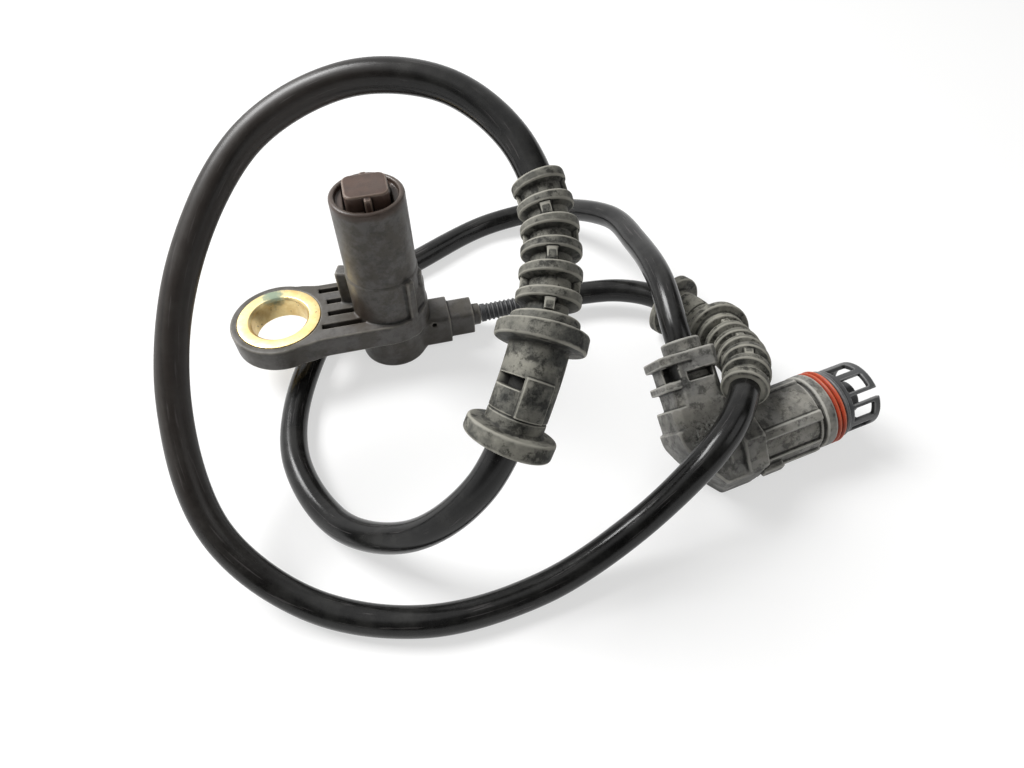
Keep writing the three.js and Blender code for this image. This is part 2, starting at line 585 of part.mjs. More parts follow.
function connectorWire(side) {
  const q = new THREE.Vector3(Math.cos(radians(ELBOW_ANGLE)), Math.sin(radians(ELBOW_ANGLE)), 0);
  const z = (side * CONTACT.spread) / 2;
  const start = q.clone().multiplyScalar(HOSE_END_IN - GAP).setZ(z);
  const path = new THREE.CatmullRomCurve3([
    start,
    q.clone().multiplyScalar(5.5).setZ(z),
    new THREE.Vector3(0.2 * CONTACT.start, 1.8, (z + side * CONTACT.spread) / 2),
    new THREE.Vector3(0.6 * CONTACT.start, 0, side * CONTACT.spread),
    new THREE.Vector3(CONTACT.start - GAP, 0, side * CONTACT.spread),
  ], false, "centripetal");
  return swept(path, WIRE_R, 8, 10);
}

// The last point of the route lies inside the inlet, on its axis.
const connector = new THREE.Group();
connector.position.copy(BEND);
connector.rotation.set(radians(PLUG_ROLL), -radians(PLUG_LIFT), radians(PLUG_HEADING), "ZYX");

// Finishes
const finish = (color, roughness, metalness = 0) =>
  new THREE.MeshStandardMaterial({ color, roughness, metalness, flatShading: true });
const HEAD_PLASTIC = finish(0x3a3635, 0.6);
const TIP_PLASTIC = finish(0x2c2321, 0.5);
const BRASS = finish(0xc9a864, 0.35, 0.9);
const CHIP_RESIN = finish(0x161616, 0.5);
const MAGNET_METAL = finish(0x6b6b6e, 0.4, 0.9);
const LEAD_METAL = finish(0xb8b8ba, 0.35, 0.9);
const WIRE_BROWN = finish(0x5a3322, 0.6);
const WIRE_BLACK = finish(0x1c1c1c, 0.6);
const HOSE_RUBBER = finish(0x141414, 0.3);
const RELIEF_RUBBER = finish(0x24262a, 0.6);
const GROMMET_RUBBER = finish(0x3b3b38, 0.85);
const CONNECTOR_PLASTIC = finish(0x494a4a, 0.7);
const INSERT_PLASTIC = finish(0x2f3031, 0.6);
const SEAL_RUBBER = finish(0x8a2f1b, 0.5);

function piece(name, geometry, material, group = null) {
  const mesh = new THREE.Mesh(geometry, material);
  mesh.name = name;
  group?.add(mesh);
  return mesh;
}

const sensor = new THREE.Group();
const pieces = [
  piece("sensor_housing", sensorHousing(), HEAD_PLASTIC),
  piece("mounting_bush", mountingBush(), BRASS),
  piece("chip_carrier", chipCarrier(), TIP_PLASTIC),
  piece("sensor_chip", sensorChip(), CHIP_RESIN),
  piece("bias_magnet", biasMagnet(), MAGNET_METAL),
  piece("chip_lead_1", chipLead(-1), LEAD_METAL),
  piece("chip_lead_2", chipLead(1), LEAD_METAL),
  piece("head_wire_1", headWire(-1), WIRE_BROWN),
  piece("head_wire_2", headWire(1), WIRE_BLACK),
  piece("outlet_strain_relief", outletStrainRelief(), RELIEF_RUBBER),
  piece("cable_hose", cableHose(), HOSE_RUBBER),
  piece("bracket_grommet_1",
    laid(grommet(), GROMMET_1_START, 1, new THREE.Vector3(-0.23, -0.78, 0.58)), GROMMET_RUBBER),
  piece("bracket_grommet_2",
    laid(grommet(), GROMMET_2_START, -1, new THREE.Vector3(0, 0.3, 1)), GROMMET_RUBBER),
];
sensor.add(...pieces, connector);

piece("connector_housing", connectorHousing(), CONNECTOR_PLASTIC, connector);
piece("plug_insert", plugInsert(), INSERT_PLASTIC, connector);
piece("seal_ring", sealRing(), SEAL_RUBBER, connector);
piece("contact_1", contact(-1), LEAD_METAL, connector);
piece("contact_2", contact(1), LEAD_METAL, connector);
piece("connector_wire_1", connectorWire(-1), WIRE_BROWN, connector);
piece("connector_wire_2", connectorWire(1), WIRE_BLACK, connector);

export default sensor;
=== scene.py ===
# %% [markdown]
# # A wheel speed sensor, dressed around its CAD model
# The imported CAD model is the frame. It says where each piece is, in metres, with the head's
# foot on the table at the origin. Every piece below is made at its own place in that frame,
# so nothing is fitted by hand. Shapes are worked out in millimetres, as on a drawing, and
# become metres when they are put into a mesh.

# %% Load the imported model
from math import cos, pi, radians, sin

import bpy
import numpy as np
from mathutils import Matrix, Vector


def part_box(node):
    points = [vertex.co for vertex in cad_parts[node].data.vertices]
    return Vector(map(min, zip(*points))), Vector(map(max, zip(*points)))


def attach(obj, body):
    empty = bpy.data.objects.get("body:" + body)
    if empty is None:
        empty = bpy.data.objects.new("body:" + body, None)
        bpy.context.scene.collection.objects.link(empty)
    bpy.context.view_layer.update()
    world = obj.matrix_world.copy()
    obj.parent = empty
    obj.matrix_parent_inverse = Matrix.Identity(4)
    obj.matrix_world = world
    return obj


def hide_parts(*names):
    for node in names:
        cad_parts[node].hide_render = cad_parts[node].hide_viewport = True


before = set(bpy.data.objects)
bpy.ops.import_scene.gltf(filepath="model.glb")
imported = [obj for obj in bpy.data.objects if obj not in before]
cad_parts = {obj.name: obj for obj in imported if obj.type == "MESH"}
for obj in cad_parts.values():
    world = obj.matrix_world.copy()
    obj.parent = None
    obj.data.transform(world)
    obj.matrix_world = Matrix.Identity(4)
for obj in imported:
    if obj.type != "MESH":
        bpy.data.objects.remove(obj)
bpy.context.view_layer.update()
MM = 0.001
print("CAD nodes:", len(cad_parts))

# %% [markdown]
# ## Camera
# The photograph looks down on the table by about 51 degrees through a wide lens, so the
# cable's arch, which stands 74 mm tall, comes out nearly as thick as what lies near the
# camera. A camera that is placed from these measured values gives the same picture.

# %% Place the camera
CAMERA_AT = (0.0010, -0.1201, 0.1257)
CAMERA_TURN = (radians(39.1), 0.0, radians(-14.2))
LENS_MM = 22.78

camera_data = bpy.data.cameras.new("camera")
camera_data.lens = LENS_MM
camera_data.sensor_width = 36.0
camera_data.clip_start = 0.005
camera = bpy.data.objects.new("camera", camera_data)
camera.location = CAMERA_AT
camera.rotation_euler = CAMERA_TURN
bpy.context.collection.objects.link(camera)
bpy.context.scene.camera = camera
bpy.context.scene.view_settings.view_transform = "Standard"
print("lens", LENS_MM, "mm")

# %% [markdown]
# ## From arrays to meshes
# A closed piece is a stack of rings: ring after ring along the piece, and point after point
# round each ring. Modelling tools could make such shapes one by one, but rings that come
# from a formula can be changed by one number. One function turns any stack into a mesh with
# its faces outwards, its ends closed and a UV map that follows the surface.

# %% Put rings into a mesh
def put(name, points, faces, uv=None, crisp=None):
    """Makes a mesh object from points in millimetres and four corners for each face, of which
    two in a row are the same for a triangle. Faces point out: if the volume, the sum of all
    the tetrahedra from the origin to each face, is negative, every face is turned over."""
    triangles = np.concatenate([faces[:, :3], faces[:, [0, 2, 3]]])
    a, b, c = (points[triangles[:, k]] for k in range(3))
    if np.einsum("ij,ij->i", a, np.cross(b, c)).sum() < 0:
        faces = faces[:, ::-1]
        uv = None if uv is None else uv[:, ::-1]
    corners = [f[:3] if f[3] == f[2] else f for f in faces.tolist()]
    corners = [f[1:] if f[0] == f[1] else f for f in corners]
    mesh = bpy.data.meshes.new(name)
    mesh.from_pydata((points * MM).tolist(), [], corners)
    if uv is not None:
        kept = np.concatenate([
            np.ones((len(faces), 1), bool), faces[:, 1:] != faces[:, :-1]], axis=1)
        layer = mesh.uv_layers.new(name="along")
        layer.data.foreach_set("uv", uv[kept].ravel())
    mesh.shade_smooth()
    if crisp:
        mesh.set_sharp_from_angle(angle=radians(crisp))
    piece = bpy.data.objects.new(name, mesh)
    bpy.context.collection.objects.link(piece)
    return piece


def store(piece, name, values):
    """One number for each point, kept on the mesh for the finishes to read."""
    attribute = piece.data.attributes.new(name, "FLOAT", "POINT")
    attribute.data.foreach_set("value", values.astype(np.float32))


def ring_faces(count, sides, wraps):
    """Four corners for each face between one ring and the next, and, where the stack doesn't
    close on itself, a fan from each end ring to a middle point behind all the others."""
    i, k = np.meshgrid(np.arange(count if wraps else count - 1), np.arange(sides), indexing="ij")
    i, k = i.ravel(), k.ravel()
    after, beside = (i + 1) % count, (k + 1) % sides
    walls = np.stack([i * sides + k, i * sides + beside,
                      after * sides + beside, after * sides + k], 1)
    uv = np.stack([np.stack([i, k], 1), np.stack([i, k + 1], 1),
                   np.stack([i + 1, k + 1], 1), np.stack([i + 1, k], 1)], 1).astype(float)
    if wraps:
        return walls, uv
    side = np.arange(sides)
    beside = (side + 1) % sides
    first, last = count * sides, count * sides + 1
    end = (count - 1) * sides
    fans = np.concatenate([
        np.stack([beside, side, np.full(sides, first), np.full(sides, first)], 1),
        np.stack([end + side, end + beside, np.full(sides, last), np.full(sides, last)], 1)])
    return np.concatenate([walls, fans]), np.concatenate([uv, np.zeros((2 * sides, 4, 2))])


def stack(name, rings, wraps=False, crisp=35, lengths=None):
    """A piece from rings[i, k], point k of ring i. `lengths` gives each ring's distance along
    the piece, in millimetres, and U of the UV map is that distance in metres."""
    count, sides, _ = rings.shape
    points = rings.reshape(-1, 3)
    faces, uv = ring_faces(count, sides, wraps)
    if not wraps:
        points = np.concatenate([points, rings[[0, -1]].mean(axis=1)])
    if lengths is not None:
        along = np.append(lengths, lengths[-1]) * MM
        uv[..., 0] = along[np.minimum(uv[..., 0], count).astype(int)]
    uv[..., 1] /= sides
    return put(name, points, faces, uv, crisp)


# %% [markdown]
# ## The cable's route
# The real cable is stiff and keeps the set that it had on the car, so it stands up in an
# arch over the head and comes to rest on a few places. Its middle line is a list of given
# points, the same as in the CAD model, with one smooth curve through them: a centripetal
# Catmull-Rom curve, which makes no loops where the points come close together.

# %% Measure the route
ROUTE = np.array([
    [0.0229, 0, 0.0054], [0.0515, 0, 0.006], [0.0605, -0.0024, 0.007], [0.0674, -0.0072, 0.008],
    [0.0714, -0.0131, 0.0085], [0.0744, -0.0256, 0.0118], [0.0744, -0.0326, 0.0149],
    [0.0731, -0.0403, 0.0187], [0.0699, -0.0474, 0.0224], [0.0614, -0.0587, 0.024],
    [0.0543, -0.064, 0.0214], [0.0388, -0.0697, 0.0102], [0.0182, -0.0748, 0.0038],
    [-0.0046, -0.0753, 0.0034], [-0.0253, -0.0671, 0.005], [-0.0394, -0.053, 0.0142],
    [-0.0423, -0.0329, 0.0293], [-0.0346, -0.0158, 0.0474], [-0.0188, -0.0032, 0.0629],
    [0.0005, -0.0016, 0.0704], [0.017, -0.008, 0.0705], [0.0266, -0.0189, 0.0656],
    [0.0295, -0.0318, 0.0581], [0.0264, -0.0447, 0.0511], [0.0196, -0.0563, 0.0426],
    [0.0096, -0.0646, 0.029], [-0.004, -0.0635, 0.0152], [-0.0183, -0.0522, 0.0056],
    [-0.0265, -0.032, 0.0033], [-0.0236, -0.0099, 0.0031], [-0.011, 0.0143, 0.0031],
    [0.0123, 0.0289, 0.0031], [0.0334, 0.0385, 0.0035], [0.0518, 0.036, 0.0072],
    [0.0627, 0.0166, 0.017], [0.0631, -0.0015, 0.022], [0.0614, -0.02, 0.0256],
    [0.0599, -0.033, 0.0232], [0.0605, -0.0406, 0.0185], [0.0612, -0.0483, 0.0139],
])


def smooth_line(points, steps=60):
    """The curve through the points. Between two of them it is a cubic whose ends have the
    slopes that the four nearest points give, each spacing counted by its square root."""
    p = np.concatenate([[2 * points[0] - points[1]], points, [2 * points[-1] - points[-2]]])
    p0, p1, p2, p3 = p[:-3], p[1:-2], p[2:-1], p[3:]
    pairs = ((p0, p1), (p1, p2), (p2, p3))
    gap = [np.sqrt(np.linalg.norm(b - a, axis=1))[:, None] for a, b in pairs]
    start = (p1 - p0) / gap[0] - (p2 - p0) / (gap[0] + gap[1]) + (p2 - p1) / gap[1]
    end = (p2 - p1) / gap[1] - (p3 - p1) / (gap[1] + gap[2]) + (p3 - p2) / gap[2]
    start, end = start * gap[1], end * gap[1]
    t = np.linspace(0, 1, steps, endpoint=False)[:, None, None]
    cubic = (p1 + start * t + (3 * (p2 - p1) - 2 * start - end) * t**2
             + (2 * (p1 - p2) + start + end) * t**3)
    return np.concatenate([cubic.transpose(1, 0, 2).reshape(-1, 3), points[-1:]])


LINE = smooth_line(ROUTE / MM)
REACHED = np.concatenate([[0], np.cumsum(np.linalg.norm(np.diff(LINE, axis=0), axis=1))])
ROUTE_LENGTH = REACHED[-1]


def on_route(s):
    """Points of the route at the distances s, and the directions there."""
    def at(d):
        return np.stack([np.interp(d, REACHED, LINE[:, k]) for k in range(3)], -1)
    near = np.clip(s, 0.5, ROUTE_LENGTH - 0.5)
    ahead = at(near + 0.5) - at(near - 0.5)
    ahead /= np.linalg.norm(ahead, axis=-1, keepdims=True)
    return at(s) + ahead * (s - np.clip(s, 0, ROUTE_LENGTH))[..., None], ahead


def laid(s, x, y, way=1, face=(0, 0, 1)):
    """Points beside the route: x to its side and y away from `face`, at the distances s."""
    at, ahead = on_route(s)
    ahead = ahead * way
    side = np.cross(ahead, np.array(face, float))
    side /= np.linalg.norm(side, axis=-1, keepdims=True)
    back = np.cross(ahead, side)
    return at + side * x[..., None] + back * y[..., None]


def around(s, radius, way=1, face=(0, 0, 1), sides=64):
    """Rings round the route. radius has one number for each point of each ring, or one column."""
    angle = np.linspace(0, 2 * pi, sides, endpoint=False)
    radius = np.broadcast_to(radius, (len(s), sides))
    places = np.broadcast_to(s[:, None], radius.shape)
    return laid(places, radius * np.cos(angle), radius * np.sin(angle), way, face)


print("route", round(ROUTE_LENGTH, 1), "mm")

# %% [markdown]
# ## The hose
# The cable's hose is an extruded tube of 6 mm. A Blender curve with a round bevel would
# give it too, but a stack of rings also carries a UV map that measures the distance along
# the hose, and the dull and the shiny stretches of the rubber follow that map. Its skin
# swells and shrinks by a few hundredths, as an extruded rubber does.

# %% Make the hose
HOSE_R = 3.0
GAP = 0.3
RELIEF_LENGTH = 12.5
HOSE_START = RELIEF_LENGTH + GAP
HOSE_RINGS = 560


def hose():
    """Rings whose radius is the hose's, plus a slow swell along it, and rounded at both ends.
    The rings' middles are given back too, as the cable's path."""
    s = np.linspace(HOSE_START, ROUTE_LENGTH, HOSE_RINGS)
    swell = 0.02 * np.sin(s / 7.3) + 0.015 * np.sin(s / 3.1 + 1)
    tip = np.minimum(s - HOSE_START, ROUTE_LENGTH - s)
    radius = HOSE_R + swell - 0.4 * np.exp(-tip / 0.4)
    piece = stack("hose", around(s, radius[:, None], sides=40), crisp=None, lengths=s)
    return piece, on_route(s)[0]


cable, cable_path = hose()
print("hose", round(ROUTE_LENGTH - HOSE_START), "mm of", 2 * HOSE_R, "mm")

# %% [markdown]
# ## Turned profiles
# Bushes, seals and relief ribs are round about one line. Their outline is a list of
# corners, and the corners are rounded before the outline is turned, because no moulded or
# machined edge is a knife. Rounding the outline costs a few rings, where a bevel of the
# finished mesh would have to find its edges again.

# %% Round the corners of an outline
def soften(profile, radius, closed=False, steps=5):
    """Each corner is cut back by the radius along both of its sides, at most by 0.45 of a side,
    and a quadratic curve with the corner as its middle control point joins the two cuts."""
    p = np.array(profile, float)

    def cut_back(to):
        step = to - p
        size = np.maximum(np.linalg.norm(step, axis=1, keepdims=True), 1e-9)
        return p + step / size * np.minimum(radius, 0.45 * size)
    a, b = cut_back(np.roll(p, 1, axis=0)), cut_back(np.roll(p, -1, axis=0))
    t = np.linspace(0, 1, steps)[None, :, None]
    arcs = (1 - t)**2 * a[:, None] + 2 * t * (1 - t) * p[:, None] + t**2 * b[:, None]
    if closed:
        return arcs.reshape(-1, 2)
    return np.concatenate([p[:1], arcs[1:-1].reshape(-1, 2), p[-1:]])


def turned(profile, sides=96):
    """Rings about Z from [radius, height] pairs."""
    angle = np.linspace(0, 2 * pi, sides, endpoint=False)
    r, z = np.asarray(profile, float).T
    return np.stack([r[:, None] * np.cos(angle), r[:, None] * np.sin(angle),
                     np.repeat(z[:, None], sides, 1)], -1)


# %% [markdown]
# ## The brass bush
# The bush is turned from a brass rod and moulded into the arm's eye, so that the fastening
# screw bears on metal. Its hole has a small chamfer at each face. The CAD bush says how
# large it is and where it sits, and a turned profile replaces it.

# %% Make the bush
bush_low, bush_high = (np.array(corner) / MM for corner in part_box("mounting_bush"))
BUSH_AT = (bush_low + bush_high) / 2
BUSH_R = (bush_high[0] - bush_low[0]) / 2
BUSH_BORE_R = 6.6
BUSH_CHAMFER = 0.6


def bush():
    """A closed outline of bore, chamfers, faces and outside, turned about the bush's axis."""
    half, c = (bush_high[2] - bush_low[2]) / 2, BUSH_CHAMFER
    profile = [[BUSH_BORE_R, c - half], [BUSH_BORE_R + c, -half], [BUSH_R, -half], [BUSH_R, half],
               [BUSH_BORE_R + c, half], [BUSH_BORE_R, half - c]]
    return stack("brass_bush", turned(soften(profile, 0.12, closed=True, steps=4)) + BUSH_AT,
                 wraps=True)


brass_bush = bush()
print("bush radius", round(BUSH_R, 2))

# %% [markdown]
# ## The strain relief
# Where the thin inner cable leaves the head, its jacket is moulded with small ribs that
# spread the bend. The ribs are a profile carried along the route.

# %% Make the relief
RELIEF_R = 2.05
RELIEF_RIB = 0.32
RELIEF_RIBS = 8


def relief():
    """The radius is the jacket's, and one soft tooth for each rib stands on it: the positive
    part of a cosine, raised to a low power so that the teeth are broad and the valleys narrow."""
    s = np.linspace(0.05, RELIEF_LENGTH, 160)
    wave = np.maximum(np.cos(2 * pi * (s - 2) / ((RELIEF_LENGTH - 3) / RELIEF_RIBS)), 0)**0.5
    ribbed = np.where((s > 1.2) & (s < RELIEF_LENGTH - 1.2), wave, 1.0)
    taper = np.interp(s, [0, RELIEF_LENGTH], [RELIEF_R, RELIEF_R - 0.15])
    radius = (taper + RELIEF_RIB * ribbed)[:, None]
    return stack("ribbed_relief", around(s, radius, sides=40), crisp=60)


ribbed_relief = relief()

# %% [markdown]
# ## The bracket grommets
# Each grommet is one rubber moulding that grips the hose: a sleeve with six rings, held to
# each other by two small bars that change sides from gap to gap, then a step, a flange, a
# body that clips into a bracket, and a second flange. All of it can be read as one height
# over the hose, as a function of the angle and of the distance along it, so one grid makes
# the whole moulding, and the same grid bends with the cable.

# %% Make the grommets
RING = {"count": 6, "pitch": 4.2, "thick": 1.9, "first_r": 4.75, "last_r": 5.6}
SLEEVE_R = 3.62
WEB_HALF = 1.0
COLLAR = {"length": 1.9, "r": 5.95}
FLANGE = {"r": 7.9, "thick": 2.9}
BODY = {"length": 14.1, "r": 5.15}
SLOT = {"from": 5.9, "length": 1.7, "middle": 0.9, "half": 0.66, "floor": 3.2}
PANEL = {"length": 8.6, "from": -0.87, "to": 0.18, "proud": 0.4}
GROMMET_SIDES = 176
FINE_STEP = 0.12
BORE_RINGS = 30
RINGS_LENGTH = RING["count"] * RING["pitch"]
NEAR_FLANGE = RINGS_LENGTH + COLLAR["length"]
BODY_START = NEAR_FLANGE + FLANGE["thick"]
FAR_FLANGE = BODY_START + BODY["length"]
GROMMET_LENGTH = FAR_FLANGE + FLANGE["thick"]


def ramp(x, start, end):
    """Rises smoothly from 0 at start to 1 at end."""
    t = np.clip((x - start) / (end - start), 0, 1)
    return t * t * (3 - 2 * t)


def ring_profile(index):
    """Outline of one ring and of the gap after it: [distance, radius on the ring or bar, radius
    between the bars, which pair of bars]."""
    z = index * RING["pitch"]
    t = RING["thick"]
    r = np.interp(index, [0, RING["count"] - 1], [RING["first_r"], RING["last_r"]])
    ring = soften([[z, SLEEVE_R], [z, r], [z + t, r], [z + t, SLEEVE_R]], 0.55, steps=7)[1:-1]
    rows = [[s, h, h] for s, h in ring]
    bar = r - 0.35
    gap = np.linspace(z + t, z + RING["pitch"], 7)
    rows += [[s, bar, SLEEVE_R] for s in gap[1:-1]]
    rows = [[s, max(h, bar) if s > z + t - 0.01 else h, low] for s, h, low in rows]
    return [[s, h, low, index % 2] for s, h, low in rows]


def grommet(name, start, way, face):
    """The height over the hose. In a gap it is the bar's height where the angle is within a bar
    and the sleeve's elsewhere. The body is a circle with four slight flats, less the clip's
    slot and plus the raised panel, each a product of smooth ramps. The slot's ramps are kept
    as an attribute too, so that painted shade can make its floor black."""
    rows = [row for i in range(RING["count"]) for row in ring_profile(i)]
    tail = soften([
        [RINGS_LENGTH, SLEEVE_R], [RINGS_LENGTH, COLLAR["r"]], [NEAR_FLANGE, COLLAR["r"]],
        [NEAR_FLANGE, FLANGE["r"]], [BODY_START, FLANGE["r"]], [BODY_START, BODY["r"]],
        [FAR_FLANGE, BODY["r"]], [FAR_FLANGE, FLANGE["r"]], [GROMMET_LENGTH, FLANGE["r"]],
        [GROMMET_LENGTH, HOSE_R + 0.1]], 0.6, steps=7)
    on_body = (np.abs(tail[:, 1] - BODY["r"]) < 1e-6) & (tail[:, 0] > BODY_START)
    first = np.argmax(on_body)
    within = np.arange(tail[first, 0] + FINE_STEP, FAR_FLANGE - 0.7, FINE_STEP)
    fine = np.stack([within, np.full_like(within, BODY["r"])], 1)
    tail = np.concatenate([tail[:first + 1], fine, tail[first + 1:]])
    rows = np.array([[0, HOSE_R + 0.1, HOSE_R + 0.1, 0]] + rows + [[s, h, h, 0] for s, h in tail])
    s, high, low, turn = (column[:, None] for column in rows.T)
    angle = np.linspace(0, 2 * pi, GROMMET_SIDES, endpoint=False)[None]
    across = np.abs((angle - turn * pi / 2 + pi / 2) % pi - pi / 2) * high
    bar = 1 - ramp(across, WEB_HALF - 0.2, WEB_HALF + 0.25)
    radius = low + (high - low) * bar
    body = (ramp(s, BODY_START - 0.05, BODY_START + 0.5)
            * (1 - ramp(s, FAR_FLANGE - 0.5, FAR_FLANGE + 0.05)))
    body *= np.abs(high - BODY["r"]) < 0.7
    radius -= body * 0.16 * (1 - np.cos(4 * angle)) / 2
    front = (angle + pi / 2 + pi) % (2 * pi) - pi
    slot_from = BODY_START + SLOT["from"]
    slot = (ramp(s, slot_from - 0.1, slot_from + 0.05)
            * (1 - ramp(s, slot_from + SLOT["length"] - 0.05, slot_from + SLOT["length"] + 0.1))
            * (1 - ramp(np.abs(front - SLOT["middle"]), SLOT["half"] - 0.02, SLOT["half"] + 0.03)))
    radius += (SLOT["floor"] - radius) * slot
    panel = (body * ramp(s, FAR_FLANGE - PANEL["length"] - 0.1, FAR_FLANGE - PANEL["length"] + 0.1)
             * ramp(front, PANEL["from"] - 0.03, PANEL["from"] + 0.05)
             * (1 - ramp(front, PANEL["to"] - 0.05, PANEL["to"] + 0.03)))
    parting = np.exp(-((s - FAR_FLANGE + 2.3) / 0.14)**2) * body
    radius += PANEL["proud"] * panel * (s < FAR_FLANGE - 2.4) - 0.16 * parting
    skin = around(start + way * rows[:, 0], radius, way, face, GROMMET_SIDES)
    bore_at = np.linspace(GROMMET_LENGTH, 0, BORE_RINGS)
    bore = around(start + way * bore_at, HOSE_R + 0.05, way, face, GROMMET_SIDES)
    piece = stack(name, np.concatenate([skin, bore]), wraps=True, crisp=50)
    # The slot's floor is kept for painted shade, which paints it black.
    store(piece, "painted_shade", np.concatenate([slot.ravel(), np.zeros(BORE_RINGS * GROMMET_SIDES)]))
    return piece


GROMMET_1_START = 366.6
GROMMET_2_START = 98.5
grommet_1 = grommet("middle_grommet", GROMMET_1_START, 1, (-0.23, -0.78, 0.58))
grommet_2 = grommet("head_grommet", GROMMET_2_START, -1, (0, 0.3, 1))
print("grommets", round(GROMMET_LENGTH, 1), "mm long")

# %% [markdown]
# ## Moulded housings as a field
# The head and the plug's housing are mouldings: bars, discs and ribs that run into each
# other with a small round in every corner. Grids in two parameters meet in hard lines, and
# bevels on boolean cuts break where many edges come together. So these two are described
# as a field instead: the distance from any point to the nearest wall, below zero inside the
# plastic. The smaller of two distances joins two bodies, and a soft smaller-of rounds the
# corner between them. The skin is then drawn where the field is zero.

# %% Distances to simple bodies
def join(a, b, fillet=0.4):
    """The smaller distance, less a soft hollow where both are within `fillet` of each other."""
    near = np.maximum(fillet - np.abs(a - b), 0) / fillet
    return np.minimum(a, b) - near**2 * fillet / 4


def cut(a, b, edge=0.25):
    """What is in a and not in b, with a rounded rim."""
    return -join(-a, b, edge)


def walled(*walls, edge=0.3):
    """Inside all the walls. The corners between square walls are rounded by `edge`: outside the
    shrunken walls it is the distance to their corner, inside it is the nearest wall."""
    reach = [wall + edge for wall in walls]
    outside = sum(np.maximum(r, 0)**2 for r in reach)
    deepest = reach[0]
    for r in reach[1:]:
        deepest = np.maximum(deepest, r)
    return np.sqrt(outside) + np.minimum(deepest, 0) - edge


def between(x, low, high):
    return np.abs(x - (low + high) / 2) - (high - low) / 2


def block(x, y, z, low, high, edge=0.3):
    return walled(between(x, low[0], high[0]), between(y, low[1], high[1]),
                  between(z, low[2], high[2]), edge=edge)


def disc(u, v, w, radius, low, high, edge=0.3):
    return walled(np.sqrt(u**2 + v**2) - radius, between(w, low, high), edge=edge)


def bar(along, u, v, low, high, half_u, half_v, corner, edge=0.3):
    """A bar with four cut corners."""
    diagonal = (np.abs(u) + np.abs(v) - (half_u + half_v - corner)) * 0.7071
    square = walled(np.abs(u) - half_u, np.abs(v) - half_v, between(along, low, high), edge=edge)
    return -join(-square, -diagonal, edge)


# %% [markdown]
# ## Drawing the skin of a field
# Space is cut into small cells. A cell that the surface passes through gets one point, in
# the middle of the places where the surface crosses the cell's edges, and each crossed edge
# gets one face between its four cells. Every point is then slid along the field's slope
# until the field is zero, so flat walls come out truly flat.

# %% Draw the skin
def slope(field, p, step):
    """Change of the field along X, Y and Z, from points half a step to either side."""
    moves = np.eye(3) * step / 2
    return np.stack([field(*(p + m).T) - field(*(p - m).T) for m in moves], -1) / step


def skin(name, field, low, high, step, turn=np.eye(3), at=np.zeros(3), crisp=None):
    """A closed mesh where the field is zero inside the box from low to high. `turn` and `at`
    take the field's own coordinates to the row's frame."""
    low = np.array(low, float)
    count = np.ceil((np.array(high, float) - low) / step).astype(int) + 1
    lines = [low[k] + step * np.arange(count[k]) for k in range(3)]
    value = np.broadcast_to(field(*np.meshgrid(*lines, indexing="ij", sparse=True)), count)
    cells = count - 1
    total, crossings = np.zeros((*cells, 3)), np.zeros(cells)
    for axis in range(3):
        others = [k for k in range(3) if k != axis]
        v0 = np.take(value, np.arange(cells[axis]), axis)
        v1 = np.take(value, np.arange(1, count[axis]), axis)
        crossed = (v0 < 0) != (v1 < 0)
        part = np.where(crossed, v0 / np.where(crossed, v0 - v1, 1), 0)
        for da in (0, 1):
            for db in (0, 1):
                window = [slice(None)] * 3
                window[others[0]] = slice(da, da + cells[others[0]])
                window[others[1]] = slice(db, db + cells[others[1]])
                hit = crossed[tuple(window)]
                total[..., axis] += part[tuple(window)]
                total[..., others[0]] += da * hit
                total[..., others[1]] += db * hit
                crossings += hit
    used = crossings > 0
    index = np.full(tuple(cells), -1)
    index[used] = np.arange(used.sum())
    points = low + step * (np.argwhere(used) + total[used] / crossings[used][:, None])
    faces = []
    for axis in range(3):
        order = (axis, (axis + 1) % 3, (axis + 2) % 3)
        v, ids = np.transpose(value, order) < 0, np.transpose(index, order)
        here, there = v[:-1, 1:-1, 1:-1], v[1:, 1:-1, 1:-1]
        for found, way in ((here & ~there, 1), (~here & there, -1)):
            i, j, k = np.nonzero(found)
            quad = np.stack([ids[i, j, k], ids[i, j + 1, k],
                             ids[i, j + 1, k + 1], ids[i, j, k + 1]], 1)
            faces.append(quad[:, ::way])
    for _ in range(4):
        grade = slope(field, points, 0.05)
        steepness = np.maximum((grade**2).sum(1, keepdims=True), 0.2)
        move = field(*points.T)[:, None] * grade / steepness
        points = points - np.clip(move, -0.5 * step, 0.5 * step)
    piece = put(name, points @ turn.T + at, np.concatenate(faces), crisp=crisp)
    print(name, len(points), "points")
    return piece


# %% [markdown]
# ## The sensor head
# One moulding holds the barrel with its recessed tip, the arm with its eye and its four
# grooves, the fins that centre the barrel in its hole, and the outlet of the cable.

# %% Describe the head
head_low, head_high = (np.array(corner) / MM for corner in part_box("sensor_housing"))
HEAD_HEIGHT = head_high[2]
TIP_R, BASE_R, COLLAR_R, FOOT_R = 8.05, 8.25, 8.45, 8.3
COLLAR_TOP = 26.2
ARM_LOW, ARM_HIGH = 9.5, 15.5
ARM_HALF = 9.6
EYE_R = 11.45
TIP_RIM, TIP_RECESS = 1.25, 1.1
CARRIER = {"length": 9.4, "width": 8.4, "proud": 2.0, "seat": 3.2,
           "tab": 1.5, "reach": 1.3, "below": 0.4}
GROOVE = {"count": 4, "pitch": 4.2, "width": 1.5, "depth": 2.4, "offset": 0.8, "longer": 1.7}
COLUMN = {"x": 4.6, "y": -0.3, "r": 4.7, "from": 0.3, "to": 21.5}
OUTLET_Z = 5.4
OUTLET_BLOCK = (14.4, 4.6, 4.4, 0.7)  # end, half the width, half the height, cut corner
OUTLET_NECK = (20.6, 3.6, 3.6, 0.6)
OUTLET_SPOUT_R, OUTLET_SPOUT_END, OUTLET_BORE_R = 2.75, 22.6, 1.75
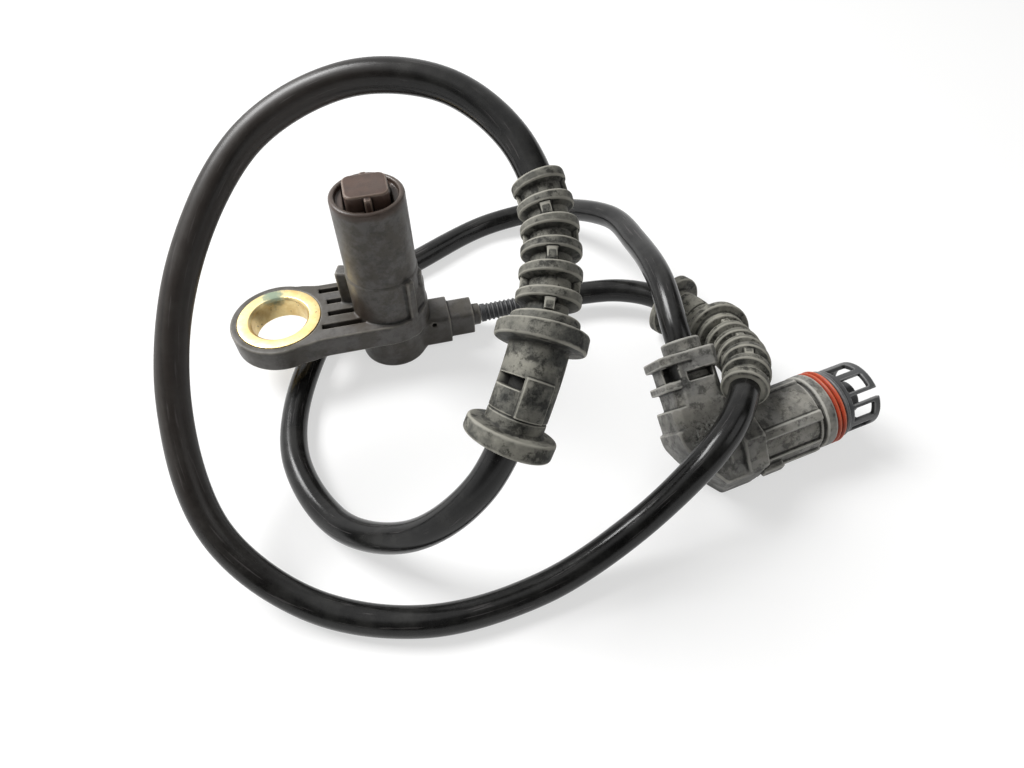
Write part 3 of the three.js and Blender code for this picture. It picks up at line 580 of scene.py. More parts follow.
OUTLET_NOTCH = [(9.6, -6, 2.4), (10.8, -3.1, 3.6)]  # Z from the outlet's middle
WIRE_WAY = (2.6, 1.6)
WELL_R, WELL_DEPTH = 4.0, 33.0
FINS = [  # angle in degrees, how proud, how thick, from, to
    (-53, 1.2, 2.2, 9.5, 26.4), (-14, 0.7, 2.0, 9.5, 25.0), (161, 2.7, 3.6, 10.5, 24.5)]


def fin(x, y, z, angle, reach, thick, low, high):
    """A flat rib that stands out from the head's axis at an angle in degrees."""
    a = radians(angle)
    out, side = x * cos(a) + y * sin(a), y * cos(a) - x * sin(a)
    return block(out, side, z, (4, -thick / 2, low), (reach, thick / 2, high), edge=0.55)


def head_body(x, y, z):
    """Barrel, arm, eye, column, fins and outlet, joined with small rounds. Each groove of the
    arm is cut before the arm is joined."""
    radial = np.sqrt(x**2 + y**2)
    radius = np.interp(
        z, [0, ARM_LOW, ARM_LOW + 0.1, COLLAR_TOP - 0.15, COLLAR_TOP + 0.15, HEAD_HEIGHT],
        [FOOT_R, FOOT_R, COLLAR_R, COLLAR_R, BASE_R, TIP_R])
    body = walled(radial - radius, between(z, 0, HEAD_HEIGHT), edge=0.7)
    eye = np.sqrt((x - BUSH_AT[0])**2 + y**2) - EYE_R
    strip = walled(between(x, BUSH_AT[0] + 6.3, 0), np.abs(y) - ARM_HALF, edge=0.1)
    outline = join(join(eye, strip, 3.0), radial - ARM_HALF, 0.4)
    plate = walled(outline, between(z, ARM_LOW, ARM_HIGH), edge=0.45)
    for i in range(GROOVE["count"]):
        off = i - (GROOVE["count"] - 1) / 2
        middle = GROOVE["offset"] + off * GROOVE["pitch"]
        start = BUSH_AT[0] + EYE_R - (GROOVE["longer"] if abs(off) > 1 else 0)
        groove = block(x, y, z, (start, middle - GROOVE["width"] / 2, ARM_HIGH - GROOVE["depth"]),
                       (-4, middle + GROOVE["width"] / 2, ARM_HIGH + 2), edge=0.3)
        plate = cut(plate, groove, 0.25)
    body = join(body, plate, 0.5)
    column = disc(x - COLUMN["x"], y - COLUMN["y"], z,
                  COLUMN["r"], COLUMN["from"], COLUMN["to"], 0.6)
    body = join(body, column, 0.5)
    for angle, proud, thick, low, high in FINS:
        body = join(body, fin(x, y, z, angle, COLLAR_R + proud, thick, low, high), 0.5)
    w = z - OUTLET_Z
    body = join(body, bar(x, y, w, 0, *OUTLET_BLOCK, 0.35), 0.5)
    body = join(body, bar(x, y, w, 0, *OUTLET_NECK, 0.35), 0.4)
    return join(body, disc(y, w, x, OUTLET_SPOUT_R, 0, OUTLET_SPOUT_END, 0.4), 0.4)


def head(x, y, z):
    """The head's body, less the tip's recess, the carrier's seat, the well for the sensing
    parts, the wires' way out, the bush's bore and the small opening in the outlet."""
    body = head_body(x, y, z)
    top = HEAD_HEIGHT
    body = cut(body, disc(x, y, z, TIP_R - TIP_RIM, top - TIP_RECESS, top + 3, 0.3), 0.35)
    a, b = CARRIER["length"] / 2 + 0.45, CARRIER["width"] / 2 + 0.45
    body = cut(body, block(x, y, z, (-a, -b, top - CARRIER["seat"]), (a, b, top + 3), 1.2), 0.25)
    c, d = CARRIER["tab"] / 2 + GAP, CARRIER["width"] / 2 + CARRIER["reach"] + GAP
    body = cut(body, block(x, y, z, (-c, -d, top - CARRIER["seat"]), (c, d, top + 3), 0.1), 0.15)
    body = cut(body, disc(x, y, z, WELL_R, top - WELL_DEPTH, top - 1.5, 0.2), 0.2)
    e, f = WIRE_WAY
    body = cut(body, block(x, y, z, (-e, -f, OUTLET_Z - f), (e, f, top - WELL_DEPTH + 1)), 0.2)
    body = cut(body, disc(y, z - OUTLET_Z, x, OUTLET_BORE_R, 0, 26, 0.2), 0.25)
    body = cut(body, np.sqrt((x - BUSH_AT[0])**2 + y**2) - BUSH_R - 0.04, 0.3)
    return cut(body, block(x, y, z - OUTLET_Z, *OUTLET_NOTCH, 0.5), 0.2)


sensor_head = skin("sensor_head", head, head_low - 1, head_high + 1, 0.32)

# %% [markdown]
# ## The chip carrier
# A brown plastic carrier holds the sensing chip and closes the tip. It stands a little
# above the rim, and two narrow tabs bridge the recess to the rim in front and behind.

# %% Make the carrier
def carrier(x, y, z):
    """A block with round corners and a domed edge, joined to a narrow tab across the tip."""
    top, floor = HEAD_HEIGHT + CARRIER["proud"], HEAD_HEIGHT - CARRIER["seat"] + GAP
    a, b = CARRIER["length"] / 2, CARRIER["width"] / 2
    outline = walled(np.abs(x) - a, np.abs(y) - b, edge=1.9)
    plate = walled(outline, between(z, floor, top), edge=0.45)
    reach = CARRIER["width"] / 2 + CARRIER["reach"]
    tab = block(x, y, z, (-CARRIER["tab"] / 2, -reach, floor),
                (CARRIER["tab"] / 2, reach, top - CARRIER["below"]), 0.35)
    return join(plate, tab, 0.4)


chip_cover = skin("chip_cover", carrier, (-5.5, -6.3, 42), (5.5, 6.3, 49), 0.16)

# %% [markdown]
# ## The plug's housing
# The elbow takes the hose at one end and the contacts at the other. It is described in its
# own coordinates, with X along the plug and the bend of the elbow at zero, and one turn
# carries it to where it lies on the table.

# %% Describe the plug's housing
BEND = np.array([61.8, -56.0, 9.2])
PLUG_HEADING, PLUG_LIFT = radians(6.65), radians(4.6)
PLUG_ROLL, ELBOW_ANGLE = radians(31), radians(86)


def turn_about(axis, angle):
    """The turning matrix about one of the three axes."""
    a, b = [(1, 2), (2, 0), (0, 1)][axis]
    turn = np.eye(3)
    turn[a, a] = turn[b, b] = cos(angle)
    turn[a, b], turn[b, a] = -sin(angle), sin(angle)
    return turn


PLUG_TURN = turn_about(2, PLUG_HEADING) @ turn_about(1, -PLUG_LIFT) @ turn_about(0, PLUG_ROLL)
COLLAR_IN_R, COLLAR_IN_END = 4.2, 24.2
SLABS = [  # left, right, from, to, depth, cut corner
    (-6.7, 4.2, 0, 19.3, 5.9, 1.8),  # body
    (-8.4, 4.2, 3, 10.1, 5.9, 1.4),  # foot
    (-7.9, 5, 19.1, 21.2, 6.4, 1.6),  # plate
    (-2.6, 5, 16.9, 21.2, 6.4, 1.6),  # the plate's thick part
    (-8.2, -3.4, 13.9, 15.6, 6.2, 1.6),  # tab
]
HUB = {"from": 2.8, "to": 7.6, "r": 9.15, "sides": 8, "flat": 114}
BARREL_R, BARREL_END = 8.0, 21.3
NECK_R, NECK_END = 7.2, 22.2
SHOULDER_R, SHOULDER_END = 8.25, 24.6
SPIGOT_R, SPIGOT_END = 6.7, 27.1
RIBS = [23, 95, 167, 239, 311]
WINDOW_ANGLE, KEY_ANGLE = 122, 157
PLUG_BORE_R = 5.1


def polar(y, z, angle):
    """Distance out and to the side of a line that leaves the X axis at an angle in degrees."""
    a = radians(angle)
    return y * cos(a) + z * sin(a), z * cos(a) - y * sin(a)


def beside_inlet(x, y):
    """Distances along the inlet's line, which leaves the bend at the elbow's angle, and across
    it."""
    return (x * cos(ELBOW_ANGLE) + y * sin(ELBOW_ANGLE),
            x * sin(ELBOW_ANGLE) - y * cos(ELBOW_ANGLE))


def inlet_arm(x, y, z):
    """Body, foot, plate and tab, each a bar with cut corners, and the collar for the hose, less
    the pocket on both sides, the opening beside the tab and the hose's bore."""
    along, across = beside_inlet(x, y)
    arm = disc(across, z, along, COLLAR_IN_R, 0, COLLAR_IN_END, 0.4)
    for left, right, start, end, depth, corner in SLABS:
        arm = join(arm, bar(along, across - (left + right) / 2, z, start, end,
                            (right - left) / 2, depth, corner), 0.35)
    for side in (-1, 1):
        arm = cut(arm, block(across, along, z * side, (-3, 15, 3.7), (2.8, 16.9, 9), 0.15), 0.15)
    arm = cut(arm, block(across, along, z, (-9, 15.8, 1.5), (-4.9, 18.9, 9), 0.15), 0.15)
    return cut(arm, disc(across, z, along, HOSE_R + 0.12, 9, 27, 0.3), 0.3)


def heel(x, y, z):
    """The corner under the bend: two slanted walls at the back, a flat end with its front
    slanted too, and a lower edge that is cut level with the table."""
    back = -0.909 * (x + 8.4) - 0.415 * (y - 3)
    under = -0.825 * (x + 6.3) - 0.566 * (y + 1.6)
    level = -sin(PLUG_ROLL) * (y + 8.6) - cos(PLUG_ROLL) * (z + 5.3)
    front = -0.95 * (y + 10.2) + 0.313 * (z + 3.2)
    return walled(back, under, -8.4 - x, -10.2 - y, x - 6.4, y - 6, np.abs(z) - 5.9, level, front,
                  edge=0.45)


def plug_barrel(x, y, z):
    """Hub with flat sides, ribbed barrel with one recessed window, neck, shoulder, spigot and
    a short key."""
    radial = np.sqrt(y**2 + z**2)
    body = walled(radial - np.interp(x, [0, HUB["to"], HUB["to"] + 0.1], [6.9, 7.6, BARREL_R]),
                  between(x, 0, BARREL_END), edge=0.3)
    facet = pi / HUB["sides"]
    angle = (np.arctan2(z, y) - radians(HUB["flat"]) + facet) % (2 * facet) - facet
    hub = walled(radial * np.cos(angle) - HUB["r"] * cos(facet),
                 between(x, HUB["from"], HUB["to"]), edge=0.4)
    out, side = polar(y, z, WINDOW_ANGLE)
    window = walled(between(x, HUB["to"] + 0.3, BARREL_END - 0.4), np.abs(side) - 2.3, 4 - out,
                    edge=0.3)
    body = cut(body, np.maximum(window, BARREL_R - 0.7 - radial), 0.2)
    for rib in RIBS:
        out, side = polar(y, z, rib)
        ridge = block(x, out, side, (HUB["to"] - 1, 4, -1.1), (BARREL_END, 8.6, 1.1), 0.35)
        body = join(body, ridge, 0.3)
    body = join(body, hub, 0.4)
    body = join(body, disc(y, z, x, NECK_R, 0, NECK_END + 0.5, 0.1), 0.1)
    body = join(body, disc(y, z, x, SHOULDER_R, NECK_END, SHOULDER_END, 0.35), 0.15)
    body = join(body, disc(y, z, x, SPIGOT_R, 0, SPIGOT_END, 0.2), 0.15)
    out, side = polar(y, z, KEY_ANGLE)
    key = block(x, out, side, (HUB["to"] - 1, 5, -1.2), (11.4, 9.4, 1.2), 0.3)
    return join(body, key, 0.3)


def housing(x, y, z):
    """Heel, inlet and barrel as one moulding, less the bore for the contact carrier."""
    body = join(join(heel(x, y, z), inlet_arm(x, y, z), 0.5), plug_barrel(x, y, z), 0.5)
    return cut(body, disc(y, z, x, PLUG_BORE_R, -1, 40, 0.3), 0.25)


def in_openings(x, y, z):
    """True in the pocket and in the opening beside the tab, which are painted black as shade."""
    along, across = beside_inlet(x, y)
    pocket = np.maximum.reduce([between(across, -3.1, 2.9), between(along, 14.9, 17.0), 5.5 - z])
    beside = np.maximum.reduce([between(across, -6.4, -4.6), between(along, 15.6, 19.0), 1.2 - z])
    return (pocket < 0) | (beside < 0)


plug_housing = skin("plug_housing", housing, (-9.5, -11.5, -10.3), (28.2, 26, 10.3), 0.3,
                    PLUG_TURN, BEND)
plug_points = np.empty(len(plug_housing.data.vertices) * 3)
plug_housing.data.vertices.foreach_get("co", plug_points)
plug_points = (plug_points.reshape(-1, 3) / MM - BEND) @ PLUG_TURN
# The pocket and the opening beside the tab are kept for painted shade, which paints them black.
store(plug_housing, "painted_shade", in_openings(*plug_points.T))

# %% [markdown]
# ## The contact carrier's nose
# The nose is a thin cage with windows and end notches, which key the plug in its socket,
# round a core that holds the two contacts.

# %% Describe the nose
NOSE = {"from": 27.4, "end": 36.0, "r": 7.3, "wall": 1.15, "flange_r": 7.7, "flange": 0.9}
CORE_R, CORE_SHORT = 3.6, 2.2
WINDOWS = {"from": 29.5, "to": 34.5, "half": 1.55, "narrow": 0.9, "notch": 1.5}
WINDOW_ANGLES = [30, 68, 122, 160, 210, 248, 302, 340]
SLIT_ANGLES = [95, 275]
INSERT_START = 9.0
CONTACT_R, CONTACT_SPREAD = 0.8, 1.9


def nose(x, y, z):
    """A rod in the housing's bore, a flange, a cage with windows and notches, and the core."""
    radial = np.sqrt(y**2 + z**2)
    body = disc(y, z, x, PLUG_BORE_R - 0.05, INSERT_START, NOSE["from"] + 0.5, 0.2)
    flange_end = NOSE["from"] + NOSE["flange"]
    body = join(body, disc(y, z, x, NOSE["flange_r"], NOSE["from"], flange_end, 0.25), 0.2)
    cage = walled(radial - NOSE["r"], NOSE["r"] - NOSE["wall"] - radial,
                  between(x, NOSE["from"] + 0.3, NOSE["end"]), edge=0.25)
    for angle in WINDOW_ANGLES + SLIT_ANGLES:
        out, side = polar(y, z, angle)
        half = WINDOWS["narrow"] if angle in SLIT_ANGLES else WINDOWS["half"]
        opening = walled(between(x, WINDOWS["from"], WINDOWS["to"]), np.abs(side) - half,
                         4 - out, edge=0.2)
        cage = cut(cage, opening, 0.2)
        if angle in SLIT_ANGLES:
            notch = walled(NOSE["end"] - WINDOWS["notch"] - x, np.abs(side) - half,
                           4 - out, edge=0.2)
            cage = cut(cage, notch, 0.2)
    body = join(body, cage, 0.2)
    body = join(body, disc(y, z, x, CORE_R, INSERT_START, NOSE["end"] - CORE_SHORT, 0.3), 0.2)
    for side in (-1, 1):
        body = cut(body, disc(y, z - side * CONTACT_SPREAD, x, CONTACT_R + GAP, 6, 50, 0.1), 0.15)
    return body


contact_nose = skin("contact_nose", nose, (8, -8.5, -8.5), (37, 8.5, 8.5), 0.22, PLUG_TURN, BEND)

# %% [markdown]
# ## The seal
# The red seal is a turned rubber ring with two round lips on the spigot.

# %% Make the seal
SEAL_R, SEAL_LIPS = 8.25, 2


def seal():
    """The outline goes up the bore and back down over two lips, each half a wave tall."""
    start, end = SHOULDER_END + 0.1, SPIGOT_END - 0.05
    x = np.linspace(start, end, 60)
    lips = np.abs(np.sin(pi * SEAL_LIPS * (x - start) / (end - start)))**0.6
    outer = np.stack([SEAL_R - 0.85 + 0.85 * lips, x], 1)
    bore = np.stack([np.full(12, SPIGOT_R + 0.03), np.linspace(end, start, 12)], 1)
    rings = turned(np.concatenate([outer, bore]))[..., [2, 0, 1]]
    return stack("red_seal", rings @ PLUG_TURN.T + BEND, wraps=True, crisp=50)


red_seal = seal()

# %% [markdown]
# ## Where edges wear and corners get painted shade
# Wear shows on outward edges, and painted shade darkens inward corners. Blender's pointiness
# knows both, but only while it renders. Here each point's curvature is measured once from
# the mesh and stored, so the exported model wears and is shaded in the same places.

# %% Measure the edges
CURVE_FULL = 1600.0


def mark_edges(piece, passes=2):
    """Stores `edge`: a half on flat skin, 1 on a sharp outward edge and 0 in a sharp inward one.
    A neighbour that lies below a point's tangent plane shows an outward bend: its drop, over the
    square of its distance, is half the curvature. The mean over all neighbours is then
    smoothed."""
    mesh = piece.data
    n = len(mesh.vertices)
    co, normal = np.empty(n * 3), np.empty(n * 3)
    mesh.vertices.foreach_get("co", co)
    mesh.vertices.foreach_get("normal", normal)
    co, normal = co.reshape(-1, 3), normal.reshape(-1, 3)
    ends = np.empty(len(mesh.edges) * 2, int)
    mesh.edges.foreach_get("vertices", ends)
    a, b = ends.reshape(-1, 2).T
    between_them = co[b] - co[a]
    square = np.maximum((between_them**2).sum(1), 1e-12)
    drop_a = -(between_them * normal[a]).sum(1) / square
    drop_b = (between_them * normal[b]).sum(1) / square
    neighbours = np.bincount(a, minlength=n) + np.bincount(b, minlength=n)
    bend = (np.bincount(a, drop_a, n) + np.bincount(b, drop_b, n)) / neighbours
    for _ in range(passes):
        spread = np.bincount(a, bend[b], n) + np.bincount(b, bend[a], n)
        bend = 0.5 * bend + 0.5 * spread / neighbours
    edge = np.clip(0.5 + bend / CURVE_FULL, 0, 1)
    store(piece, "edge", edge)


MADE = [cable, brass_bush, ribbed_relief, grommet_1, grommet_2, sensor_head, chip_cover,
        plug_housing, contact_nose, red_seal]
for piece in MADE:
    mark_edges(piece)
print("edges measured on", len(MADE), "pieces")

# %% [markdown]
# ## Finishes in groups of nodes
# Several finishes share an effect: moulded grain, worn edges, a film of dust. Each effect is
# one group of nodes with named inputs, built once, and every material places it with its
# own values. The Principled shader stays in the material, where the export can read it.

# %% Helpers for node trees
def new_group(name, inputs, outputs):
    """An empty group with float or vector sockets, and its two ends."""
    group = bpy.data.node_groups.new(name, "ShaderNodeTree")
    kinds = {"value": "NodeSocketFloat", "vector": "NodeSocketVector"}
    for title, (kind, default) in inputs.items():
        socket = group.interface.new_socket(title, in_out="INPUT", socket_type=kinds[kind])
        if default is not None:
            socket.default_value = default
    for title, kind in outputs.items():
        group.interface.new_socket(title, in_out="OUTPUT", socket_type=kinds[kind])
    return group, group.nodes.new("NodeGroupInput"), group.nodes.new("NodeGroupOutput")


def node(tree, kind, settings=(), **sockets):
    """A node with its settings, and each named socket set to a value or linked to an output. A
    socket that shares its name with others is called by its number, such as i0."""
    made = tree.nodes.new(kind)
    for title, value in dict(settings).items():
        setattr(made, title, value)
    for title, value in sockets.items():
        numbered = title[0] == "i" and title[1:].isdigit()
        key = int(title[1:]) if numbered else title.replace("_", " ")
        if isinstance(value, bpy.types.NodeSocket):
            tree.links.new(value, made.inputs[key])
        else:
            made.inputs[key].default_value = value
    return made


def noise(tree, vector, scale, detail=4.0, roughness=0.55, distortion=0.0):
    return node(tree, "ShaderNodeTexNoise", Vector=vector, Scale=scale, Detail=detail,
                Roughness=roughness, Distortion=distortion).outputs["Fac"]


def span(tree, value, low, high, to_low=0.0, to_high=1.0):
    """Takes a value from one range to another, smoothly and without going past the ends."""
    return node(tree, "ShaderNodeMapRange", {"interpolation_type": "SMOOTHSTEP"},
                i0=value, i1=low, i2=high, i3=to_low, i4=to_high).outputs[0]


def calc(tree, operation, a, b):
    return node(tree, "ShaderNodeMath", {"operation": operation}, i0=a, i1=b).outputs[0]


def times(tree, a, b):
    return calc(tree, "MULTIPLY", a, b)


def plus(tree, a, b):
    return calc(tree, "ADD", a, b)


def calc_vector(tree, operation, a, b=(0, 0, 0), gives=0):
    """A vector, or with `gives="Value"` a number such as a distance."""
    return node(tree, "ShaderNodeVectorMath", {"operation": operation}, i0=a, i1=b).outputs[gives]


def height_of(tree, vector):
    return node(tree, "ShaderNodeSeparateXYZ", Vector=vector).outputs["Z"]


def mixed(tree, factor, a, b):
    """A colour between a and b, each of them linked or given as three numbers."""
    a, b = (c if isinstance(c, bpy.types.NodeSocket) else (*c, 1.0) for c in (a, b))
    return node(tree, "ShaderNodeMix", {"data_type": "RGBA"}, i0=factor, i6=a, i7=b).outputs[2]


# %% Build the groups
def grain_group():
    """Fine moulding grain: two sizes of noise, as a height and as specks."""
    tree, inp, out = new_group("moulded_grain", {
        "Vector": ("vector", None), "Scale": ("value", 2500.0), "Coarse": ("value", 0.5)},
        {"Height": "value", "Specks": "value"})
    vector, scale = inp.outputs["Vector"], inp.outputs["Scale"]
    fine = noise(tree, vector, scale, 3.0, 0.7)
    coarse = noise(tree, vector, times(tree, scale, 0.23), 4.0, 0.6)
    height = plus(tree, fine, times(tree, coarse, inp.outputs["Coarse"]))
    tree.links.new(height, out.inputs["Height"])
    tree.links.new(span(tree, fine, 0.55, 0.72), out.inputs["Specks"])
    return tree


def wear_and_corner_shade_group():
    """Worn edges: the stored edge value, roughened by noise, and painted shade in the inward
    corners.
    """
    tree, inp, out = new_group("edge_wear_and_corner_shade", {
        "Vector": ("vector", None), "Edge": ("value", 0.5), "Scale": ("value", 400.0),
        "Reach": ("value", 0.62)}, {"Worn": "value", "Corner shade": "value"})
    rough = noise(tree, inp.outputs["Vector"], inp.outputs["Scale"], 5.0, 0.65)
    broken = plus(tree, inp.outputs["Edge"],
                  times(tree, calc(tree, "SUBTRACT", rough, 0.5), 0.35))
    over = calc(tree, "SUBTRACT", broken, inp.outputs["Reach"])
    tree.links.new(span(tree, over, 0.0, 0.22), out.inputs["Worn"])
    # Painted shade: high where the edge value is low, in inward corners.
    tree.links.new(span(tree, broken, 0.45, 0.2), out.inputs["Corner shade"])
    return tree


def dust_group():
    """A film of dust: thicker on what faces up, broken into patches by noise."""
    tree, inp, out = new_group("dust_film", {
        "Vector": ("vector", None), "Normal": ("vector", None), "Scale": ("value", 90.0),
        "Amount": ("value", 0.5)}, {"Film": "value"})
    up = height_of(tree, inp.outputs["Normal"])
    broken = noise(tree, inp.outputs["Vector"], inp.outputs["Scale"], 6.0, 0.7)
    patch = span(tree, broken, 0.35, 0.75)
    film = times(tree, span(tree, up, -0.4, 1.0, 0.25, 1.0), patch)
    tree.links.new(times(tree, film, inp.outputs["Amount"]), out.inputs["Film"])
    return tree


def scratch_group():
    """Long thin scratches: noise that is stretched along one direction, cut to thin lines."""
    tree, inp, out = new_group("scratches", {
        "Vector": ("vector", None), "Stretch": ("vector", (1.0, 1.0, 1.0)),
        "Amount": ("value", 0.5)}, {"Lines": "value"})
    pulled = calc_vector(tree, "MULTIPLY", inp.outputs["Vector"], inp.outputs["Stretch"])
    lines = span(tree, noise(tree, pulled, 1.0, 2.0, 0.5), 0.62, 0.7)
    tree.links.new(times(tree, lines, inp.outputs["Amount"]), out.inputs["Lines"])
    return tree


GRAIN, WEAR_AND_SHADE, DUST, SCRATCH = grain_group(), wear_and_corner_shade_group(), dust_group(), scratch_group()


def use(tree, group, **sockets):
    """Places a group in a material."""
    made = tree.nodes.new("ShaderNodeGroup")
    made.node_tree = group
    for title, value in sockets.items():
        if isinstance(value, bpy.types.NodeSocket):
            tree.links.new(value, made.inputs[title])
        else:
            made.inputs[title].default_value = value
    return made.outputs


print("groups:", ", ".join(g.name for g in (GRAIN, WEAR_AND_SHADE, DUST, SCRATCH)))

# %% [markdown]
# ## One recipe for moulded plastic and rubber
# Plastic and rubber differ by numbers more than by kind: how dark they are, how their colour
# drifts, how coarse the grain is, and how much wear and dust they carry. So one function
# lays out the nodes, and each finish calls it with its own numbers.

# %% The recipe
# Colour of the painted shade that blackens the floors of slots and pockets.
RECESS_SHADE = (0.004, 0.004, 0.004)


def start_material(name):
    """An empty material with its tree, its Principled shader and the place on the object."""
    material = bpy.data.materials.new(name)
    material.use_nodes = True
    tree = material.node_tree
    tree.nodes.clear()
    shader = tree.nodes.new("ShaderNodeBsdfPrincipled")
    output = tree.nodes.new("ShaderNodeOutputMaterial")
    tree.links.new(shader.outputs["BSDF"], output.inputs["Surface"])
    place = tree.nodes.new("ShaderNodeTexCoord").outputs["Object"]
    return material, tree, shader, place


def normal_of(tree):
    return tree.nodes.new("ShaderNodeNewGeometry").outputs["Normal"]


def moulded(name, base, drift, worn, dust, rough, grain=2600.0, bump=0.12, wear=0.62,
            film=0.4, blotch_and_shade=(0.006, 0.006, 0.005), blotch=0.0, extra=None, specular=0.3):
    """Base colour drifts by noise, then dust, dark blotches, worn edges, painted shade in inward
    corners and painted shade that blackens the floors of slots are laid over it, in that order."""
    material, tree, shader, place = start_material(name)
    edge = node(tree, "ShaderNodeAttribute", {"attribute_name": "edge"}).outputs["Fac"]
    painted_shade = node(tree, "ShaderNodeAttribute", {"attribute_name": "painted_shade"}).outputs["Fac"]
    grained = use(tree, GRAIN, Vector=place, Scale=grain)
    worn_and_shaded = use(tree, WEAR_AND_SHADE, Vector=place, Edge=edge, Reach=wear)
    dusty = use(tree, DUST, Vector=place, Normal=normal_of(tree), Amount=film)
    patches = span(tree, noise(tree, place, 190.0, 6.0, 0.7), 0.4, 0.6)
    colour = mixed(tree, patches, base, drift)
    dark = span(tree, noise(tree, place, 420.0, 6.0, 0.75), 0.48, 0.62)
    colour = mixed(tree, dusty["Film"], colour, dust)
    # The same dark colour serves random dark blotches here and painted shade in inward corners
    # below.
    colour = mixed(tree, times(tree, dark, blotch), colour, blotch_and_shade)
    colour = mixed(tree, times(tree, worn_and_shaded["Worn"], 0.85), colour, worn)
    # Painted shade: inward corners darkened.
    colour = mixed(tree, times(tree, worn_and_shaded["Corner shade"], 0.8), colour, blotch_and_shade)
    # Painted shade: the floors of slots and pockets painted black.
    colour = mixed(tree, times(tree, painted_shade, 0.92), colour, RECESS_SHADE)
    roughness = plus(tree, rough, times(tree, grained["Specks"], 0.08))
    roughness = plus(tree, roughness, times(tree, dusty["Film"], 0.3))
    height = grained["Height"]
    if extra:
        colour, roughness, height = extra(tree, place, colour, roughness, height)
    tree.links.new(colour, shader.inputs["Base Color"])
    tree.links.new(roughness, shader.inputs["Roughness"])
    shader.inputs["Specular IOR Level"].default_value = specular
    bumped = node(tree, "ShaderNodeBump", Strength=bump, Distance=0.0002, Height=height)
    tree.links.new(bumped.outputs["Normal"], shader.inputs["Normal"])
    return material


# %% [markdown]
# ## Finishes of the head
# The head's plastic has gone grey and satin, and its rim is stained brown. Painted shade
# darkens the barrel low down, towards the arm, and a brown painted shadow lies beside the fin on
# the arm's side.

# %% Head plastic
# Middle of the brown painted shadow beside the fin.
FIN_SHADOW = (-0.0068, -0.0050, 0.0185)


def head_marks(tree, place, colour, roughness, height):
    """A brown stain over the top millimetre or two, painted shade that thickens down the barrel,
    and a brown painted shadow beside the fin that fades out with the distance from its middle."""
    z = height_of(tree, place)
    uneven = times(tree, calc(tree, "SUBTRACT", noise(tree, place, 300.0), 0.5), 0.0012)
    stain = span(tree, plus(tree, z, uneven), 0.0440, 0.0450)
    colour = mixed(tree, times(tree, stain, 0.75), colour, (0.06, 0.037, 0.028))
    # Painted shade: darker low on the barrel, towards the arm, broken into patches by noise.
    painted_shade = times(tree, span(tree, z, 0.026, 0.014),
                span(tree, noise(tree, place, 90.0, 5.0, 0.6), 0.4, 0.7))
    colour = mixed(tree, times(tree, painted_shade, 0.5), colour, (0.03, 0.026, 0.02))
    # Painted shadow: a brown wedge beside the fin, fading with the distance from its middle.
    from_fin = calc_vector(tree, "DISTANCE", place, FIN_SHADOW, "Value")
    ragged = plus(tree, from_fin, times(tree, noise(tree, place, 500.0, 4.0), 0.004))
    fin_shadow = span(tree, ragged, 0.0085, 0.004)
    colour = mixed(tree, times(tree, fin_shadow, 0.7), colour, (0.035, 0.022, 0.014))
    return colour, calc(tree, "SUBTRACT", roughness, times(tree, stain, 0.1)), height


HEAD = moulded("head_plastic", (0.105, 0.1, 0.095), (0.066, 0.059, 0.05), (0.22, 0.205, 0.18),
               (0.17, 0.16, 0.135), 0.42, grain=3200.0, bump=0.08, wear=0.64, film=0.35,
               blotch=0.3, extra=head_marks)
TIP = moulded("tip_plastic", (0.085, 0.052, 0.04), (0.062, 0.04, 0.032), (0.2, 0.15, 0.12),
              (0.13, 0.1, 0.085), 0.38, grain=2200.0, bump=0.12, wear=0.6, film=0.4)

# %% [markdown]
# ## Brass
# The bush is bare brass: turned, so it has fine rings round its axis, and spotted where
# road salt has reached it, with green corrosion at the back of the upper face. The rings
# and the spots are noise in the distance from the bush's axis and in the place.

# %% Brass
GREEN_PATCH = (-0.0012, 0.0082, 0.0031)  # from the bush's middle


def brass():
    """Metal whose colour goes from pale gold to dull spots, and to green in one patch."""
    material, tree, shader, place = start_material("bush_brass")
    centred = node(tree, "ShaderNodeMapping", Vector=place,
                   Location=tuple(-BUSH_AT * MM)).outputs[0]
    flat = calc_vector(tree, "MULTIPLY", centred, (1, 1, 0))
    away = calc_vector(tree, "LENGTH", flat, gives="Value")
    rings = noise(tree, node(tree, "ShaderNodeCombineXYZ", X=away).outputs[0], 9000.0, 2.0)
    cloud = noise(tree, place, 260.0, 6.0, 0.65)
    spots = span(tree, noise(tree, place, 900.0, 3.0, 0.6), 0.66, 0.72)
    colour = mixed(tree, span(tree, cloud, 0.35, 0.7), (0.83, 0.66, 0.32), (0.62, 0.43, 0.16))
    colour = mixed(tree, times(tree, rings, 0.25), colour, (0.9, 0.78, 0.5))
    colour = mixed(tree, spots, colour, (0.09, 0.06, 0.03))
    from_patch = calc_vector(tree, "DISTANCE", centred, GREEN_PATCH, "Value")
    ragged = plus(tree, from_patch, times(tree, noise(tree, place, 700.0, 4.0), 0.004))
    green = span(tree, ragged, 0.0058, 0.0032)
    colour = mixed(tree, times(tree, green, 0.85), colour, (0.16, 0.26, 0.21))
    tree.links.new(colour, shader.inputs["Base Color"])
    dull = plus(tree, times(tree, cloud, 0.25), times(tree, green, 0.4))
    tree.links.new(plus(tree, dull, 0.26), shader.inputs["Roughness"])
    bare = calc(tree, "SUBTRACT", 0.95, calc(tree, "MAXIMUM", times(tree, green, 0.9), spots))
    tree.links.new(calc(tree, "MAXIMUM", bare, 0.0), shader.inputs["Metallic"])
    bumped = node(tree, "ShaderNodeBump", Strength=0.12, Distance=0.0001, Height=rings)
    tree.links.new(bumped.outputs["Normal"], shader.inputs["Normal"])
    return material


BRASS = brass()

